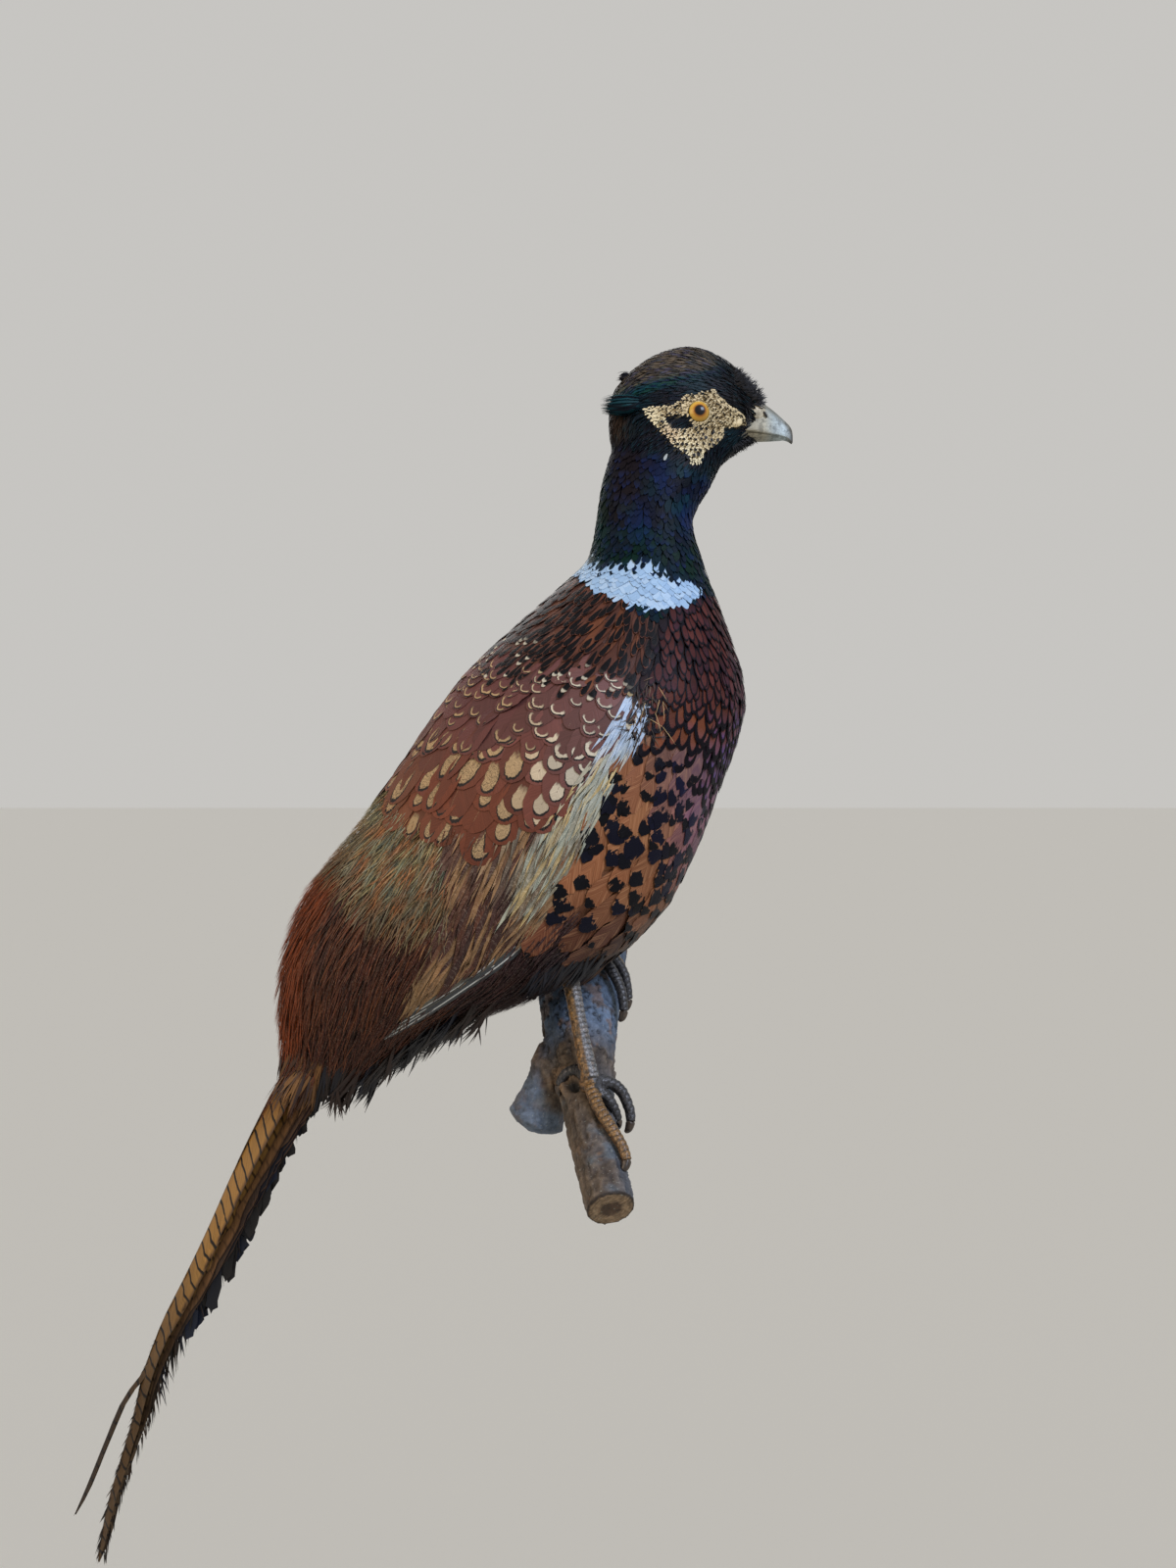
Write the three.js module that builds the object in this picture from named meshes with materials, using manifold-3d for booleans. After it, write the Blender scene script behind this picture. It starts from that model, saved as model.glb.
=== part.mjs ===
// A life-size mounted cock pheasant, perched on the sawn branch that holds it to a wall.
// Millimetres, +Z up. The wall is the plane Y = 0 and the bird stands on its -Y side, beak towards +X.
// The origin is the centre of the branch's flat back, which lies on the wall.

import * as THREE from 'three';
import { LoftGeometry } from 'three/addons/geometries/LoftGeometry.js';
import { mergeVertices } from 'three/addons/utils/BufferGeometryUtils.js';
import Module from 'manifold-3d';

const wasm = await Module();
wasm.setup();

// ---- driving sizes -------------------------------------------------------------------------

const GAP = 0.3;               // space left between two neighbouring pieces
const WELD = 1e-4;             // points closer than this are one point
const MID_Y = -120;            // the bird's plane of symmetry, parallel to the wall
const NEAR = -1;               // the bird's right side, away from the wall
const FAR = 1;                 // its left side, towards the wall

const BODY_SIDES = 24;         // points round a section of the body
const BODY_STEPS_PER_BAY = 2;  // rings between two stations of the body
const EGG = 0.12;              // how much wider a section is towards its belly

const EYEBALL_RADIUS = 7.2;
const EYE_AT = { x: 59.3, z: 279.6, out: 12.4 };     // centre of the eyeball, out from the middle

const BRANCH_SIDES = 20;
const TOE_SIDES = 10;
const CLAW_SIDES = 7;
const TOE_RADIUS = 3.6;
const CLAW_RADIUS = 2.1;
const TARSUS_RADIUS = 4.4;

const COLOURS = {
  bark: 0x6b675c,
  nape: 0x1b2233,
  neck: 0x182438,
  ring: 0xdfe6f0,
  chestnut: 0x7a3a20,
  wing: 0x84512f,
  quill: 0x8b8578,
  tuft: 0x14424a,
  thigh: 0x33201b,
  tail: 0x8a6a35,
  bill: 0xb3a98e,
  eye: 0xc98a28,
  scale: 0xb98442,
  claw: 0x2c2622,
};

// Stations of the body from the tail root to inside the head: the point on the back, the point on
// the belly or throat, and half the width between them.
const STATIONS = [
  { name: 'tail root', back: [-168, -76], belly: [-116, -84], half: 15 },
  { name: 'tail coverts', back: [-170, -50], belly: [-100, -70], half: 27 },
  { name: 'rump', back: [-168, -16], belly: [-58, -47], half: 44 },
  { name: 'hips', back: [-154, 23], belly: [0, -26], half: 58 },
  { name: 'belly', back: [-128.5, 55], belly: [45, 14], half: 66 },
  { name: 'flanks', back: [-100, 95], belly: [72, 76], half: 68 },
  { name: 'breast', back: [-71, 137], belly: [87, 122], half: 62 },
  { name: 'shoulders', back: [-35, 171], belly: [79, 158], half: 46 },
  { name: 'collar foot', back: [-5.5, 197], belly: [66, 193], half: 30 },
  { name: 'collar top', back: [1, 206.5], belly: [62.5, 204], half: 27 },
  { name: 'slim of the neck', back: [4.5, 223.5], belly: [57, 224.5], half: 22.5 },
  { name: 'throat', back: [7, 242], belly: [66.5, 242], half: 21.5 },
  { name: 'neck top', back: [12, 260.5], belly: [74, 258], half: 19 },
  { name: 'inside the head', back: [17, 274], belly: [78, 269], half: 15 },
];
const station = (name) => STATIONS.findIndex((s) => s.name === name);

// Upright sections of the head from the nape to the forehead: x, lowest z, highest z, half width.
const HEAD = [
  [11.8, 268, 288, 3.5],
  [15, 262, 298, 9],
  [24, 259, 307.5, 13.8],
  [33, 254, 314, 16.2],
  [43, 251, 318.6, 17.4],
  [54, 250, 320.8, 17.5],
  [64, 251, 319.2, 16.8],
  [74, 256, 314.6, 15],
  [82, 262.5, 308.6, 12.6],
  [89, 268, 301.2, 10.2],
  [94, 271, 295.5, 8.6],
];

// Upright sections of the closed bill: x, lowest z, highest z, half width.
const UPPER_BILL = [
  [94.3, 272.9, 291.6, 8.2],
  [100.5, 272.2, 286.8, 6.8],
  [106.5, 271.6, 281.4, 5],
  [111, 270, 277, 3],
  [112.8, 267.6, 272.8, 1.4],
];
const LOWER_BILL = [
  [94.3, 269.6, 272.6, 7.2],
  [100.5, 269.2, 271.9, 5.9],
  [106.5, 269.4, 271.3, 3.8],
];

// Outlines on the side of the body, as x, z: the folded wing's coverts, and its flight feathers below.
const WING_OUTLINE = [
  [25, 110], [0, 134], [-35, 130], [-66, 100], [-86, 62], [-98, 22], [-103, -10],
  [-72, -14], [-42, 3], [-20, 22], [-4, 46], [12, 78],
];
const QUILL_OUTLINE = [
  [-4, 44], [-22, 26], [-44, 8], [-74, -8], [-104, -6],
  [-112, -30], [-108, -50], [-88, -47], [-60, -33], [-34, -12], [-14, 16],
];
// The feathered thigh below the wing.
const THIGH_OUTLINE = [
  [22, -8], [16, 14], [-2, 30], [-30, 24], [-50, -4], [-68, -36], [-64, -50], [-30, -42], [0, -30],
];
const PLATE_INNER = 24;        // how close to the middle the wing reaches
const PLATE_REACH = 120;       // and how far out its cutting outline goes
const WING_LIFT = 3;           // how far the coverts stand out from the body
const QUILL_LIFT = 2.4;        // and the flight feathers
const THIGH_LIFT = 1;          // and the thigh

// The tail along its middle line: x, z, half height across the line, half width.
const TAIL = [
  [-150, -76, 12, 20],
  [-161, -88, 11, 19],
  [-174.5, -114, 11, 17],
  [-188, -141, 11, 15],
  [-201, -169, 10, 13],
  [-215, -196, 7, 11],
  [-228, -220, 6, 9.5],
  [-240, -249, 8, 8],
];
const TAIL_TIPS = {
  upper: [
    [-243.5, -246.5, 3.4, 7],
    [-251.5, -260, 2.6, 6],
    [-262.5, -284, 2, 4.5],
    [-273, -308, 1.7, 3],
    [-281, -324.5, 0.8, 1.2],
  ],
  lower: [
    [-238.5, -255, 4.2, 7],
    [-244, -271, 5, 6.5],
    [-250.5, -287.5, 4.2, 6],
    [-261, -315, 3, 4.6],
    [-267, -337, 2.2, 3],
    [-268.5, -350, 0.9, 1.2],
  ],
};

// The branch from the wall to its sawn end: x, y, z, radius.
const STEM = [
  [0, 0, 0, 30],
  [-2, -50, -18, 27],
  [-5, -95, -45, 24],
  [-2.5, -124, -69, 18],
  [-0.6, -145, -84.5, 14.6],
  [4.4, -175, -103.5, 13.2],
  [11, -205, -123.6, 12],
];
const STUB = [
  [-6, -108, -52, 12],
  [-13, -119, -66, 12.5],
  [-22, -123, -88, 14],
  [-30, -125, -107, 16.5],
];

// Each leg's shank: x, y, z, radius, from the feathers of the thigh down to the foot.
const SHANKS = {
  near: [
    [-12, -138, -12, 5.4],
    [-7.2, -145, -34, TARSUS_RADIUS],
    [-3, -153, -55, TARSUS_RADIUS],
    [1.2, -162, -72, 5],
  ],
  far: [
    [-13, -103, 6, 5.2],
    [-6, -101, -2, TARSUS_RADIUS],
    [1, -98, -10, TARSUS_RADIUS],
    [7, -97, -16.5, 5],
  ],
};

// Each toe's middle line on the branch, and then the tip of its claw: x, y, z.
const TOES = {
  near: {
    outer: [[1, -165, -75], [5.5, -175, -83.5], [12, -184, -91.5], [17, -189, -98.5], [19, -193, -104], [16, -196, -108]],
    middle: [[4, -160, -73], [11.5, -158, -75], [17.5, -158, -79.5], [21.5, -160, -88.5], [22, -162, -94], [19.5, -162, -99]],
    inner: [[3, -163, -75], [8.5, -165, -79.5], [13, -166, -85.5], [15.2, -166, -92], [14, -166, -97]],
    hind: [[-2, -157, -71], [-6, -151, -70], [-12, -148, -73], [-15, -147.5, -79], [-14, -148, -84]],
  },
  far: {
    outer: [[8, -93, -18], [15, -90, -20], [20.5, -88, -29], [22.5, -87, -41], [20.5, -87, -47]],
    middle: [[9, -97, -18], [15.5, -98, -20.5], [21, -100, -29], [23, -102, -42], [20.5, -103, -48]],
    inner: [[8, -101, -18.5], [13.5, -108, -25], [18.5, -112, -35], [20, -115, -46], [17.5, -116, -51]],
    hind: [[1, -97, -19], [-11, -97, -19], [-22, -98, -25], [-30, -99, -36], [-30.5, -100, -42]],
  },
};

// ---- solids --------------------------------------------------------------------------------

// A closed geometry as a solid, once the points that its faces share are one point each.
function solidOf(geometry) {
  const bare = new THREE.BufferGeometry();
  bare.setAttribute('position', geometry.attributes.position);
  bare.setIndex(geometry.index);
  const merged = mergeVertices(bare, WELD);
  const vertProperties = new Float32Array(merged.attributes.position.array);
  const triVerts = new Uint32Array(merged.index.array);
  return new wasm.Manifold(new wasm.Mesh({ numProp: 3, vertProperties, triVerts }));
}

function centreOf(ring) {
  return ring.reduce((sum, p) => sum.add(p), new THREE.Vector3()).divideScalar(ring.length);
}

// Skins a row of rings. A loft's faces point out when its rings run counterclockwise, seen from its end.
function loft(rings) {
  const centre = centreOf(rings[0]);
  const ahead = centreOf(rings[1]).sub(centre);
  const turn = new THREE.Vector3();
  rings[0].forEach((p, i) => {
    const q = rings[0][(i + 1) % rings[0].length];
    turn.add(p.clone().sub(centre).cross(q.clone().sub(centre)));
  });
  if (turn.dot(ahead) < 0) rings.forEach((ring) => ring.reverse());
  return solidOf(new LoftGeometry(rings, { capStart: true, capEnd: true }));
}

// A smooth row of numbers through the given rows, at `t` from 0 to the last row.
function rowAt(rows, t) {
  const i = Math.min(Math.floor(t), rows.length - 2);
  const f = t - i;
  const p = [rows[Math.max(i - 1, 0)], rows[i], rows[i + 1], rows[Math.min(i + 2, rows.length - 1)]];
  return p[1].map((value, k) => {
    const slopeIn = (p[2][k] - p[0][k]) / 2;
    const slopeOut = (p[3][k] - p[1][k]) / 2;
    const h = f * f * (3 - 2 * f);
    const bend = f * (1 - f) * ((1 - f) * slopeIn - f * slopeOut);
    return value * (1 - h) + p[2][k] * h + bend;
  });
}

// One ring of the body, at `t` stations from the tail root.
const STATION_ROWS = STATIONS.map((s) => [...s.back, ...s.belly, s.half]);

function bodyRing(t, grow = 0, sides = BODY_SIDES) {
  const [bx, bz, fx, fz, half] = rowAt(STATION_ROWS, t);
  const middle = new THREE.Vector3((bx + fx) / 2, MID_Y, (bz + fz) / 2);
  const across = new THREE.Vector3((fx - bx) / 2, 0, (fz - bz) / 2);
  const depth = across.length();
  across.setLength(depth + grow);
  const ring = [];
  for (let i = 0; i < sides; i++) {
    const a = (2 * Math.PI * i) / sides;
    const wide = (half + grow) * Math.sin(a) * (1 + EGG * Math.cos(a));
    ring.push(middle.clone().addScaledVector(across, Math.cos(a)).setY(MID_Y + wide));
  }
  return ring;
}

function bodyLength(from, to, grow = 0) {
  const start = from - grow / 30;
  const end = to + grow / 30;
  const steps = Math.max(2, Math.round((end - start) * BODY_STEPS_PER_BAY));
  const rings = [];
  for (let i = 0; i <= steps; i++) {
    const t = THREE.MathUtils.clamp(start + ((end - start) * i) / steps, 0, STATIONS.length - 1);
    rings.push(bodyRing(t, grow));
  }
  return loft(rings);
}

// A solid through upright sections given as x, lowest z, highest z and half width.
function upright(rows, { grow = 0, steps = 1, sides = 20, egg = 0 } = {}) {
  const rings = [];
  const count = (rows.length - 1) * steps;
  for (let i = 0; i <= count; i++) {
    const [x, low, high, half] = rowAt(rows, i / steps);
    const ring = [];
    const end = i === 0 ? -grow : i === count ? grow : 0;
    for (let j = 0; j < sides; j++) {
      const a = (2 * Math.PI * j) / sides;
      const z = (low + high) / 2 + ((high - low) / 2 + grow) * Math.cos(a);
      ring.push(new THREE.Vector3(x + end, MID_Y + (half + grow) * Math.sin(a) * (1 + egg * Math.cos(a)), z));
    }
    rings.push(ring);
  }
  return loft(rings);
}

// A round limb along rows of x, y, z and radius.
function limb(rows, { grow = 0, steps = 2, sides = 10, flat = 1 } = {}) {
  const count = (rows.length - 1) * steps;
  const samples = [];
  for (let i = 0; i <= count; i++) samples.push(rowAt(rows, i / steps));
  const curve = new THREE.CatmullRomCurve3(samples.map((s) => new THREE.Vector3(s[0], s[1], s[2])));
  const frames = curve.computeFrenetFrames(count, false);
  const rings = samples.map((s, i) => {
    const centre = new THREE.Vector3(s[0], s[1], s[2]);
    if (grow && (i === 0 || i === count)) centre.addScaledVector(frames.tangents[i], i ? grow : -grow);
    const ring = [];
    for (let j = 0; j < sides; j++) {
      const a = (2 * Math.PI * j) / sides;
      const r = s[3] + grow;
      ring.push(centre.clone()
        .addScaledVector(frames.normals[i], r * flat * Math.cos(a))
        .addScaledVector(frames.binormals[i], r * Math.sin(a)));
    }
    return ring;
  });
  return loft(rings);
}

// A blade in the bird's plane along rows of x, z, half height across the line and half width.
function blade(rows, { grow = 0, steps = 1, sides = 14, side = 0, out = 0 } = {}) {
  const count = (rows.length - 1) * steps;
  const samples = [];
  for (let i = 0; i <= count; i++) samples.push(rowAt(rows, i / steps));
  const rings = samples.map((s, i) => {
    const before = samples[Math.max(i - 1, 0)];
    const after = samples[Math.min(i + 1, count)];
    const along = new THREE.Vector2(after[0] - before[0], after[1] - before[1]).normalize();
    const end = i === 0 ? -grow : i === count ? grow : 0;
    const ring = [];
    for (let j = 0; j < sides; j++) {
      const a = (2 * Math.PI * j) / sides;
      const high = (s[2] + grow) * Math.cos(a);
      const wide = (s[3] + grow) * Math.sin(a);
      const x = s[0] + along.x * end - along.y * high;
      const z = s[1] + along.y * end + along.x * high;
      ring.push(new THREE.Vector3(x, MID_Y + side * (s[4] ?? out) + wide, z));
    }
    return ring;
  });
  return loft(rings);
}

function union(solids) {
  return solids.reduce((a, b) => a.add(b));
}

function ball(radius, x, y, z) {
  const geometry = new THREE.SphereGeometry(radius, 16, 10);
  geometry.translate(x, y, z);
  return solidOf(geometry);
}

// ---- the pieces: each is a function of how much it is grown, so a neighbour can be cut clear of it -----

const branch = (grow = 0) => {
  const wood = union([
    limb(STEM, { grow, steps: 2, sides: BRANCH_SIDES }),
    limb(STUB, { grow, steps: 2, sides: 14 }),
  ]);
  const room = 400;
  const wall = new THREE.BoxGeometry(room, room, room);
  wall.translate(0, room / 2, 0);
  return wood.subtract(solidOf(wall));
};

const head = (grow = 0) => upright(HEAD, { grow, sides: 22, egg: -0.05 });
const upperBill = (grow = 0) => upright(UPPER_BILL, { grow, steps: 2, sides: 14 });
const lowerBill = (grow = 0) => upright(LOWER_BILL, { grow, steps: 2, sides: 10 });
const neck = (grow = 0) => bodyLength(station('collar top'), station('inside the head'), grow);
const collar = () => bodyLength(station('collar foot') + 0.03, station('collar top') - 0.03);
const trunk = (grow = 0) => bodyLength(0, station('collar foot'), grow);

const eyeball = (side, grow = 0) =>
  ball(EYEBALL_RADIUS + grow, EYE_AT.x, MID_Y + side * EYE_AT.out, EYE_AT.z);

// A small feather horn over each ear, long on the near side, and one at the back of the crown.
const earTuft = (side) => {
  const reach = side === NEAR ? 1 : 0.62;
  return limb([
    [26, MID_Y + side * 11, 285, 5.5],
    [26 - 9 * reach, MID_Y + side * 14, 285.4, 4.6],
    [26 - 15 * reach, MID_Y + side * 15.5, 285.8, 3.4],
    [26 - 19.5 * reach, MID_Y + side * 16, 285.4, 1.4],
  ], { steps: 2, sides: 10 });
};

const crownTuft = () => limb([
  [26, MID_Y, 303, 5],
  [20, MID_Y, 304, 3],
  [15, MID_Y, 305.5, 0.8],
], { steps: 2, sides: 8 });

// An outline moved outwards by `grow` on every edge.
function grownOutline(outline, grow) {
  const points = outline.map(([x, z]) => new THREE.Vector2(x, z));
  const outwards = THREE.ShapeUtils.isClockWise(points) ? 1 : -1;
  return points.map((p, i) => {
    const before = points.at(i - 1);
    const after = points[(i + 1) % points.length];
    const edge = p.clone().sub(before).normalize();
    const along = after.clone().sub(p).normalize().add(edge).normalize();
    const reach = grow / along.dot(edge);
    return p.clone().add(new THREE.Vector2(-along.y, along.x).multiplyScalar(outwards * reach));
  });
}

// The part of the body's side that lies within an outline, lifted off the body.
function sidePlate(outline, side, lift, grow) {
  const points = grownOutline(outline, grow);
  const prism = new THREE.ExtrudeGeometry(new THREE.Shape(points), { depth: PLATE_REACH, bevelEnabled: false });
  prism.rotateX(Math.PI / 2);
  const inner = MID_Y + side * (PLATE_INNER - grow);
  prism.translate(0, side === FAR ? inner + PLATE_REACH : inner, 0);
  return bodyLength(0, station('collar foot'), lift + grow).intersect(solidOf(prism));
}

const wing = (side, grow = 0) => sidePlate(WING_OUTLINE, side, WING_LIFT, grow);
const quills = (side, grow = 0) => sidePlate(QUILL_OUTLINE, side, QUILL_LIFT, grow);
const thigh = (side, grow = 0) => sidePlate(THIGH_OUTLINE, side, THIGH_LIFT, grow);

const tail = (grow = 0) => blade(TAIL, { grow, steps: 2, sides: 14 });
const tailTip = (rows) => blade(rows, { steps: 2, sides: 10 });

const shank = (side, grow = 0) =>
  limb(SHANKS[side === NEAR ? 'near' : 'far'], { grow, steps: 2, sides: 12 });

function toe(route, grow = 0) {
  const joints = route.slice(0, -1);
  const rows = joints.map(([x, y, z], i) => {
    const taper = 1 - (0.28 * i) / (joints.length - 1);
    return [x, y, z, TOE_RADIUS * taper];
  });
  return limb(rows, { grow, steps: 2, sides: TOE_SIDES });
}

function claw(route, grow = 0) {
  const root = new THREE.Vector3(...route.at(-2));
  const tip = new THREE.Vector3(...route.at(-1));
  const before = new THREE.Vector3(...route.at(-3));
  const ahead = root.clone().sub(before).setLength(1.4);
  const from = root.clone().add(ahead.clone().setLength(0.2));
  const bend = root.clone().lerp(tip, 0.5).add(ahead);
  return limb([
    [...from.toArray(), CLAW_RADIUS],
    [...bend.toArray(), CLAW_RADIUS * 0.72],
    [...tip.toArray(), 0.5],
  ], { grow, steps: 2, sides: CLAW_SIDES });
}

// ---- the model -----------------------------------------------------------------------------

const pheasant = new THREE.Group();

function add(name, solid, color, roughness = 0.8) {
  const mesh = solid.getMesh();
  const geometry = new THREE.BufferGeometry();
  geometry.setAttribute('position', new THREE.Float32BufferAttribute(mesh.vertProperties, 3));
  geometry.setIndex(new THREE.Uint32BufferAttribute(mesh.triVerts, 1));
  geometry.computeVertexNormals();
  const piece = new THREE.Mesh(geometry, new THREE.MeshStandardMaterial({ color, roughness, metalness: 0 }));
  piece.name = name;
  pheasant.add(piece);
}

function cut(solid, neighbours) {
  return neighbours.reduce((left, neighbour) => left.subtract(neighbour), solid);
}

// Keeps the largest body of a cut solid, so that no crumb is left beside it.
function largest(solid) {
  return solid.decompose().sort((a, b) => b.volume() - a.volume())[0];
}

add('branch', branch(), COLOURS.bark, 0.9);
add('tail', tail(), COLOURS.tail);
for (const [name, rows] of Object.entries(TAIL_TIPS)) {
  add(`tail_tip_${name}`, largest(cut(tailTip(rows), [tail(GAP)])), COLOURS.tail);
}

// Everything that the trunk is cut clear of.
const besideTrunk = [tail(GAP), branch(GAP)];
for (const [name, side] of [['near', NEAR], ['far', FAR]]) {
  const wingClear = wing(side, GAP);
  const quillsClear = quills(side, GAP);
  const shankClear = shank(side, GAP);
  add(`wing_${name}`, largest(wing(side)), COLOURS.wing);
  add(`quills_${name}`, largest(cut(quills(side), [wingClear])), COLOURS.quill);

  add(`shank_${name}`, largest(cut(shank(side), [branch(GAP)])), COLOURS.scale, 0.5);
  const foot = [branch(GAP), shankClear];
  for (const [which, route] of Object.entries(TOES[name])) {
    add(`toe_${which}_${name}`, largest(cut(toe(route), foot)), COLOURS.scale, 0.5);
    foot.push(toe(route, GAP));
  }
  for (const [which, route] of Object.entries(TOES[name])) {
    add(`claw_${which}_${name}`, largest(cut(claw(route), foot)), COLOURS.claw, 0.4);
  }
  foot.push(...Object.values(TOES[name]).map((route) => claw(route, GAP)));
  add(`thigh_${name}`, largest(cut(thigh(side), [wingClear, quillsClear, ...foot])), COLOURS.thigh);
  besideTrunk.push(wingClear, quillsClear, thigh(side, GAP), ...foot.slice(1));

  add(`eye_${name}`, eyeball(side), COLOURS.eye, 0.1);
  add(`ear_tuft_${name}`, largest(cut(earTuft(side), [head(GAP)])), COLOURS.tuft);
}
add('trunk', largest(cut(trunk(), besideTrunk)), COLOURS.chestnut);

const besideHead = [eyeball(NEAR, GAP), eyeball(FAR, GAP), upperBill(GAP), lowerBill(GAP)];
add('head', largest(cut(head(), besideHead)), COLOURS.nape);
add('neck', largest(cut(neck(), [head(GAP)])), COLOURS.neck);
add('neck_ring', collar(), COLOURS.ring);
add('bill_upper', upperBill(), COLOURS.bill, 0.4);
add('bill_lower', lowerBill(), COLOURS.bill, 0.4);
add('crown_tuft', largest(cut(crownTuft(), [head(GAP)])), COLOURS.tuft);

export default pheasant;
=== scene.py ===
"""The taxidermy pheasant on its branch: skin, plumage, head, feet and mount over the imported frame."""
import math

import bpy
import numpy as np
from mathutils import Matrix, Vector, noise
from mathutils.bvhtree import BVHTree
from mathutils.kdtree import KDTree


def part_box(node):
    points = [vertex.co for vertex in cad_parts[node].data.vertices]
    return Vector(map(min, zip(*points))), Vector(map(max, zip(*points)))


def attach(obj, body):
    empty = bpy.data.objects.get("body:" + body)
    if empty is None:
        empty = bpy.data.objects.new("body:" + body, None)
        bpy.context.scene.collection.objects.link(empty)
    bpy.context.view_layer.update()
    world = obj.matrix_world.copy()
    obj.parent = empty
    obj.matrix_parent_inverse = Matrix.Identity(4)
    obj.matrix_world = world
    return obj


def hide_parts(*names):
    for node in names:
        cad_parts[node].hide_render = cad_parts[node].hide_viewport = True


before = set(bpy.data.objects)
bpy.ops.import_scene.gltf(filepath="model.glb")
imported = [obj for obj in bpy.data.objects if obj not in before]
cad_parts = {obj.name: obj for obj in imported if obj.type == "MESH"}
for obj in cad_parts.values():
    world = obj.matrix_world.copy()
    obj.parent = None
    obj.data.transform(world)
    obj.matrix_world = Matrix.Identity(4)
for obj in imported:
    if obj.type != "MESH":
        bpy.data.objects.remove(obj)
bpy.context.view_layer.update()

MM = 0.001
MID_Y = -0.120                       # the bird's own middle plane
CAMERA_AT = (0.0, -0.769, 0.080)
LENS_MM = 27.05
SENSOR_MM = 36
SIDES = ((-1, "near"), (1, "far"))

FLESH = ["trunk", "neck", "neck_ring", "head", "wing_near", "wing_far", "quills_near", "quills_far",
         "thigh_near", "thigh_far"]

# Section lines down the bird, from the bill to a third of the way down the tail: the back's x and z,
# then the throat's or belly's, in mm.
BODY_LINES = [(94, 296, 94, 271.5), (89, 302, 91, 270), (81, 309, 88, 269.5), (70, 317, 85, 268),
              (55, 321, 82, 266.5), (38, 316.5, 79.5, 264), (24, 307.5, 77.5, 261.5),
              (14.5, 296, 75.5, 257.5), (11.8, 280, 72.5, 251.5), (12, 262, 69, 245.5), (7, 242, 64, 238),
              (4.5, 223.5, 57, 224.5), (1, 206.5, 62.5, 204), (-5.5, 197, 66, 193), (-35, 171, 79, 158),
              (-71, 137, 87, 122), (-100, 95, 72, 76), (-128.5, 55, 45, 14), (-154, 23, 0, -26),
              (-168, -16, -58, -47), (-170, -50, -100, -70), (-168, -76, -116, -84), (-170, -82, -152, -94),
              (-184.3, -109, -164.7, -119), (-197.9, -136, -178.1, -146)]
STEPS_PER_BAY = 6
ROUND_STEPS = 96

# How the coat lies, seen from the side: a place on the middle plane in mm, and the way a feather
# there points, as x and z.
LIE = [
    (92, 290, -1.0, 0.5), (70, 314, -1.0, 0.25), (40, 315, -1.0, -0.15), (18, 300, -0.8, -0.7),
    (85, 283, -1.0, 0.1), (60, 300, -1.0, 0.0), (35, 295, -1.0, -0.2), (86, 270, -0.9, -0.4),
    (70, 262, -0.6, -0.8), (45, 270, -0.75, -0.65), (15, 275, -0.3, -0.95), (35, 240, -0.2, -1.0),
    (10, 225, -0.15, -1.0), (55, 225, -0.15, -1.0), (30, 195, -0.1, -1.0), (0, 197, -0.35, -0.95),
    (60, 190, 0.15, -1.0), (-30, 172, -0.8, -0.6), (0, 170, -0.6, -0.85), (30, 165, -0.15, -1.0),
    (-70, 132, -0.75, -0.66), (-30, 135, -0.7, -0.7), (10, 130, -0.5, -0.85), (80, 160, 0.05, -1.0),
    (50, 150, -0.1, -1.0), (85, 110, -0.2, -1.0), (55, 105, -0.35, -0.95), (25, 105, -0.55, -0.83),
    (-100, 92, -0.62, -0.8), (-50, 95, -0.5, -0.87), (0, 90, -0.55, -0.83), (-120, 62, -0.5, -0.86),
    (-80, 50, -0.4, -0.92), (-45, 45, -0.3, -0.95), (-15, 60, -0.45, -0.9), (70, 70, -0.5, -0.85),
    (30, 50, -0.62, -0.78), (10, 15, -0.72, -0.7), (50, 15, -0.8, -0.6), (10, -15, -0.93, -0.35),
    (-60, 5, -0.28, -0.96), (-35, 0, -0.5, -0.86), (-85, -20, -0.45, -0.9), (-130, 20, -0.5, -0.87),
    (-110, 0, -0.4, -0.92), (-150, 10, -0.42, -0.9), (-165, -30, -0.15, -1.0), (-140, -40, -0.3, -0.95),
    (-110, -45, -0.35, -0.93), (-60, -45, -0.7, -0.7), (-165, -70, -0.35, -0.93), (-120, -80, -0.4, -0.91),
    (-185, -115, -0.46, -0.89),
]


# ---- small tools
def deselect():
    """Leaves nothing selected, so that the next operator acts on its own piece."""
    bpy.ops.object.select_all(action="DESELECT")


def only(piece):
    """Makes one piece the selected and active one."""
    deselect()
    piece.select_set(True)
    bpy.context.view_layer.objects.active = piece


def linear(colour):
    """An sRGB hex colour as linear red, green, blue."""
    parts = np.array([int(colour[i:i + 2], 16) / 255 for i in (1, 3, 5)])
    return np.where(parts <= 0.04045, parts / 12.92, ((parts + 0.055) / 1.055) ** 2.4)


def rgba(colour):
    """An sRGB hex colour as a linear four-part socket value."""
    return (*linear(colour), 1.0)


def mix(first, second, share):
    """Blends two colours, as hex or as rows, by one share or by one for each row."""
    first, second = (linear(each) if isinstance(each, str) else np.asarray(each) for each in (first, second))
    share = np.asarray(share, float)[..., None]
    return first * (1 - share) + second * share


def ease(low, high, value):
    """Rises smoothly from 0 at low to 1 at high."""
    share = np.clip((np.asarray(value, float) - low) / (high - low), 0, 1)
    return share * share * (3 - 2 * share)


def unit(vectors):
    """Vectors at length one."""
    return vectors / np.maximum(np.linalg.norm(vectors, axis=-1, keepdims=True), 1e-12)


def dot(first, second):
    """Row by row dot product, keeping the last axis."""
    return np.sum(first * second, axis=-1, keepdims=True)


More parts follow.
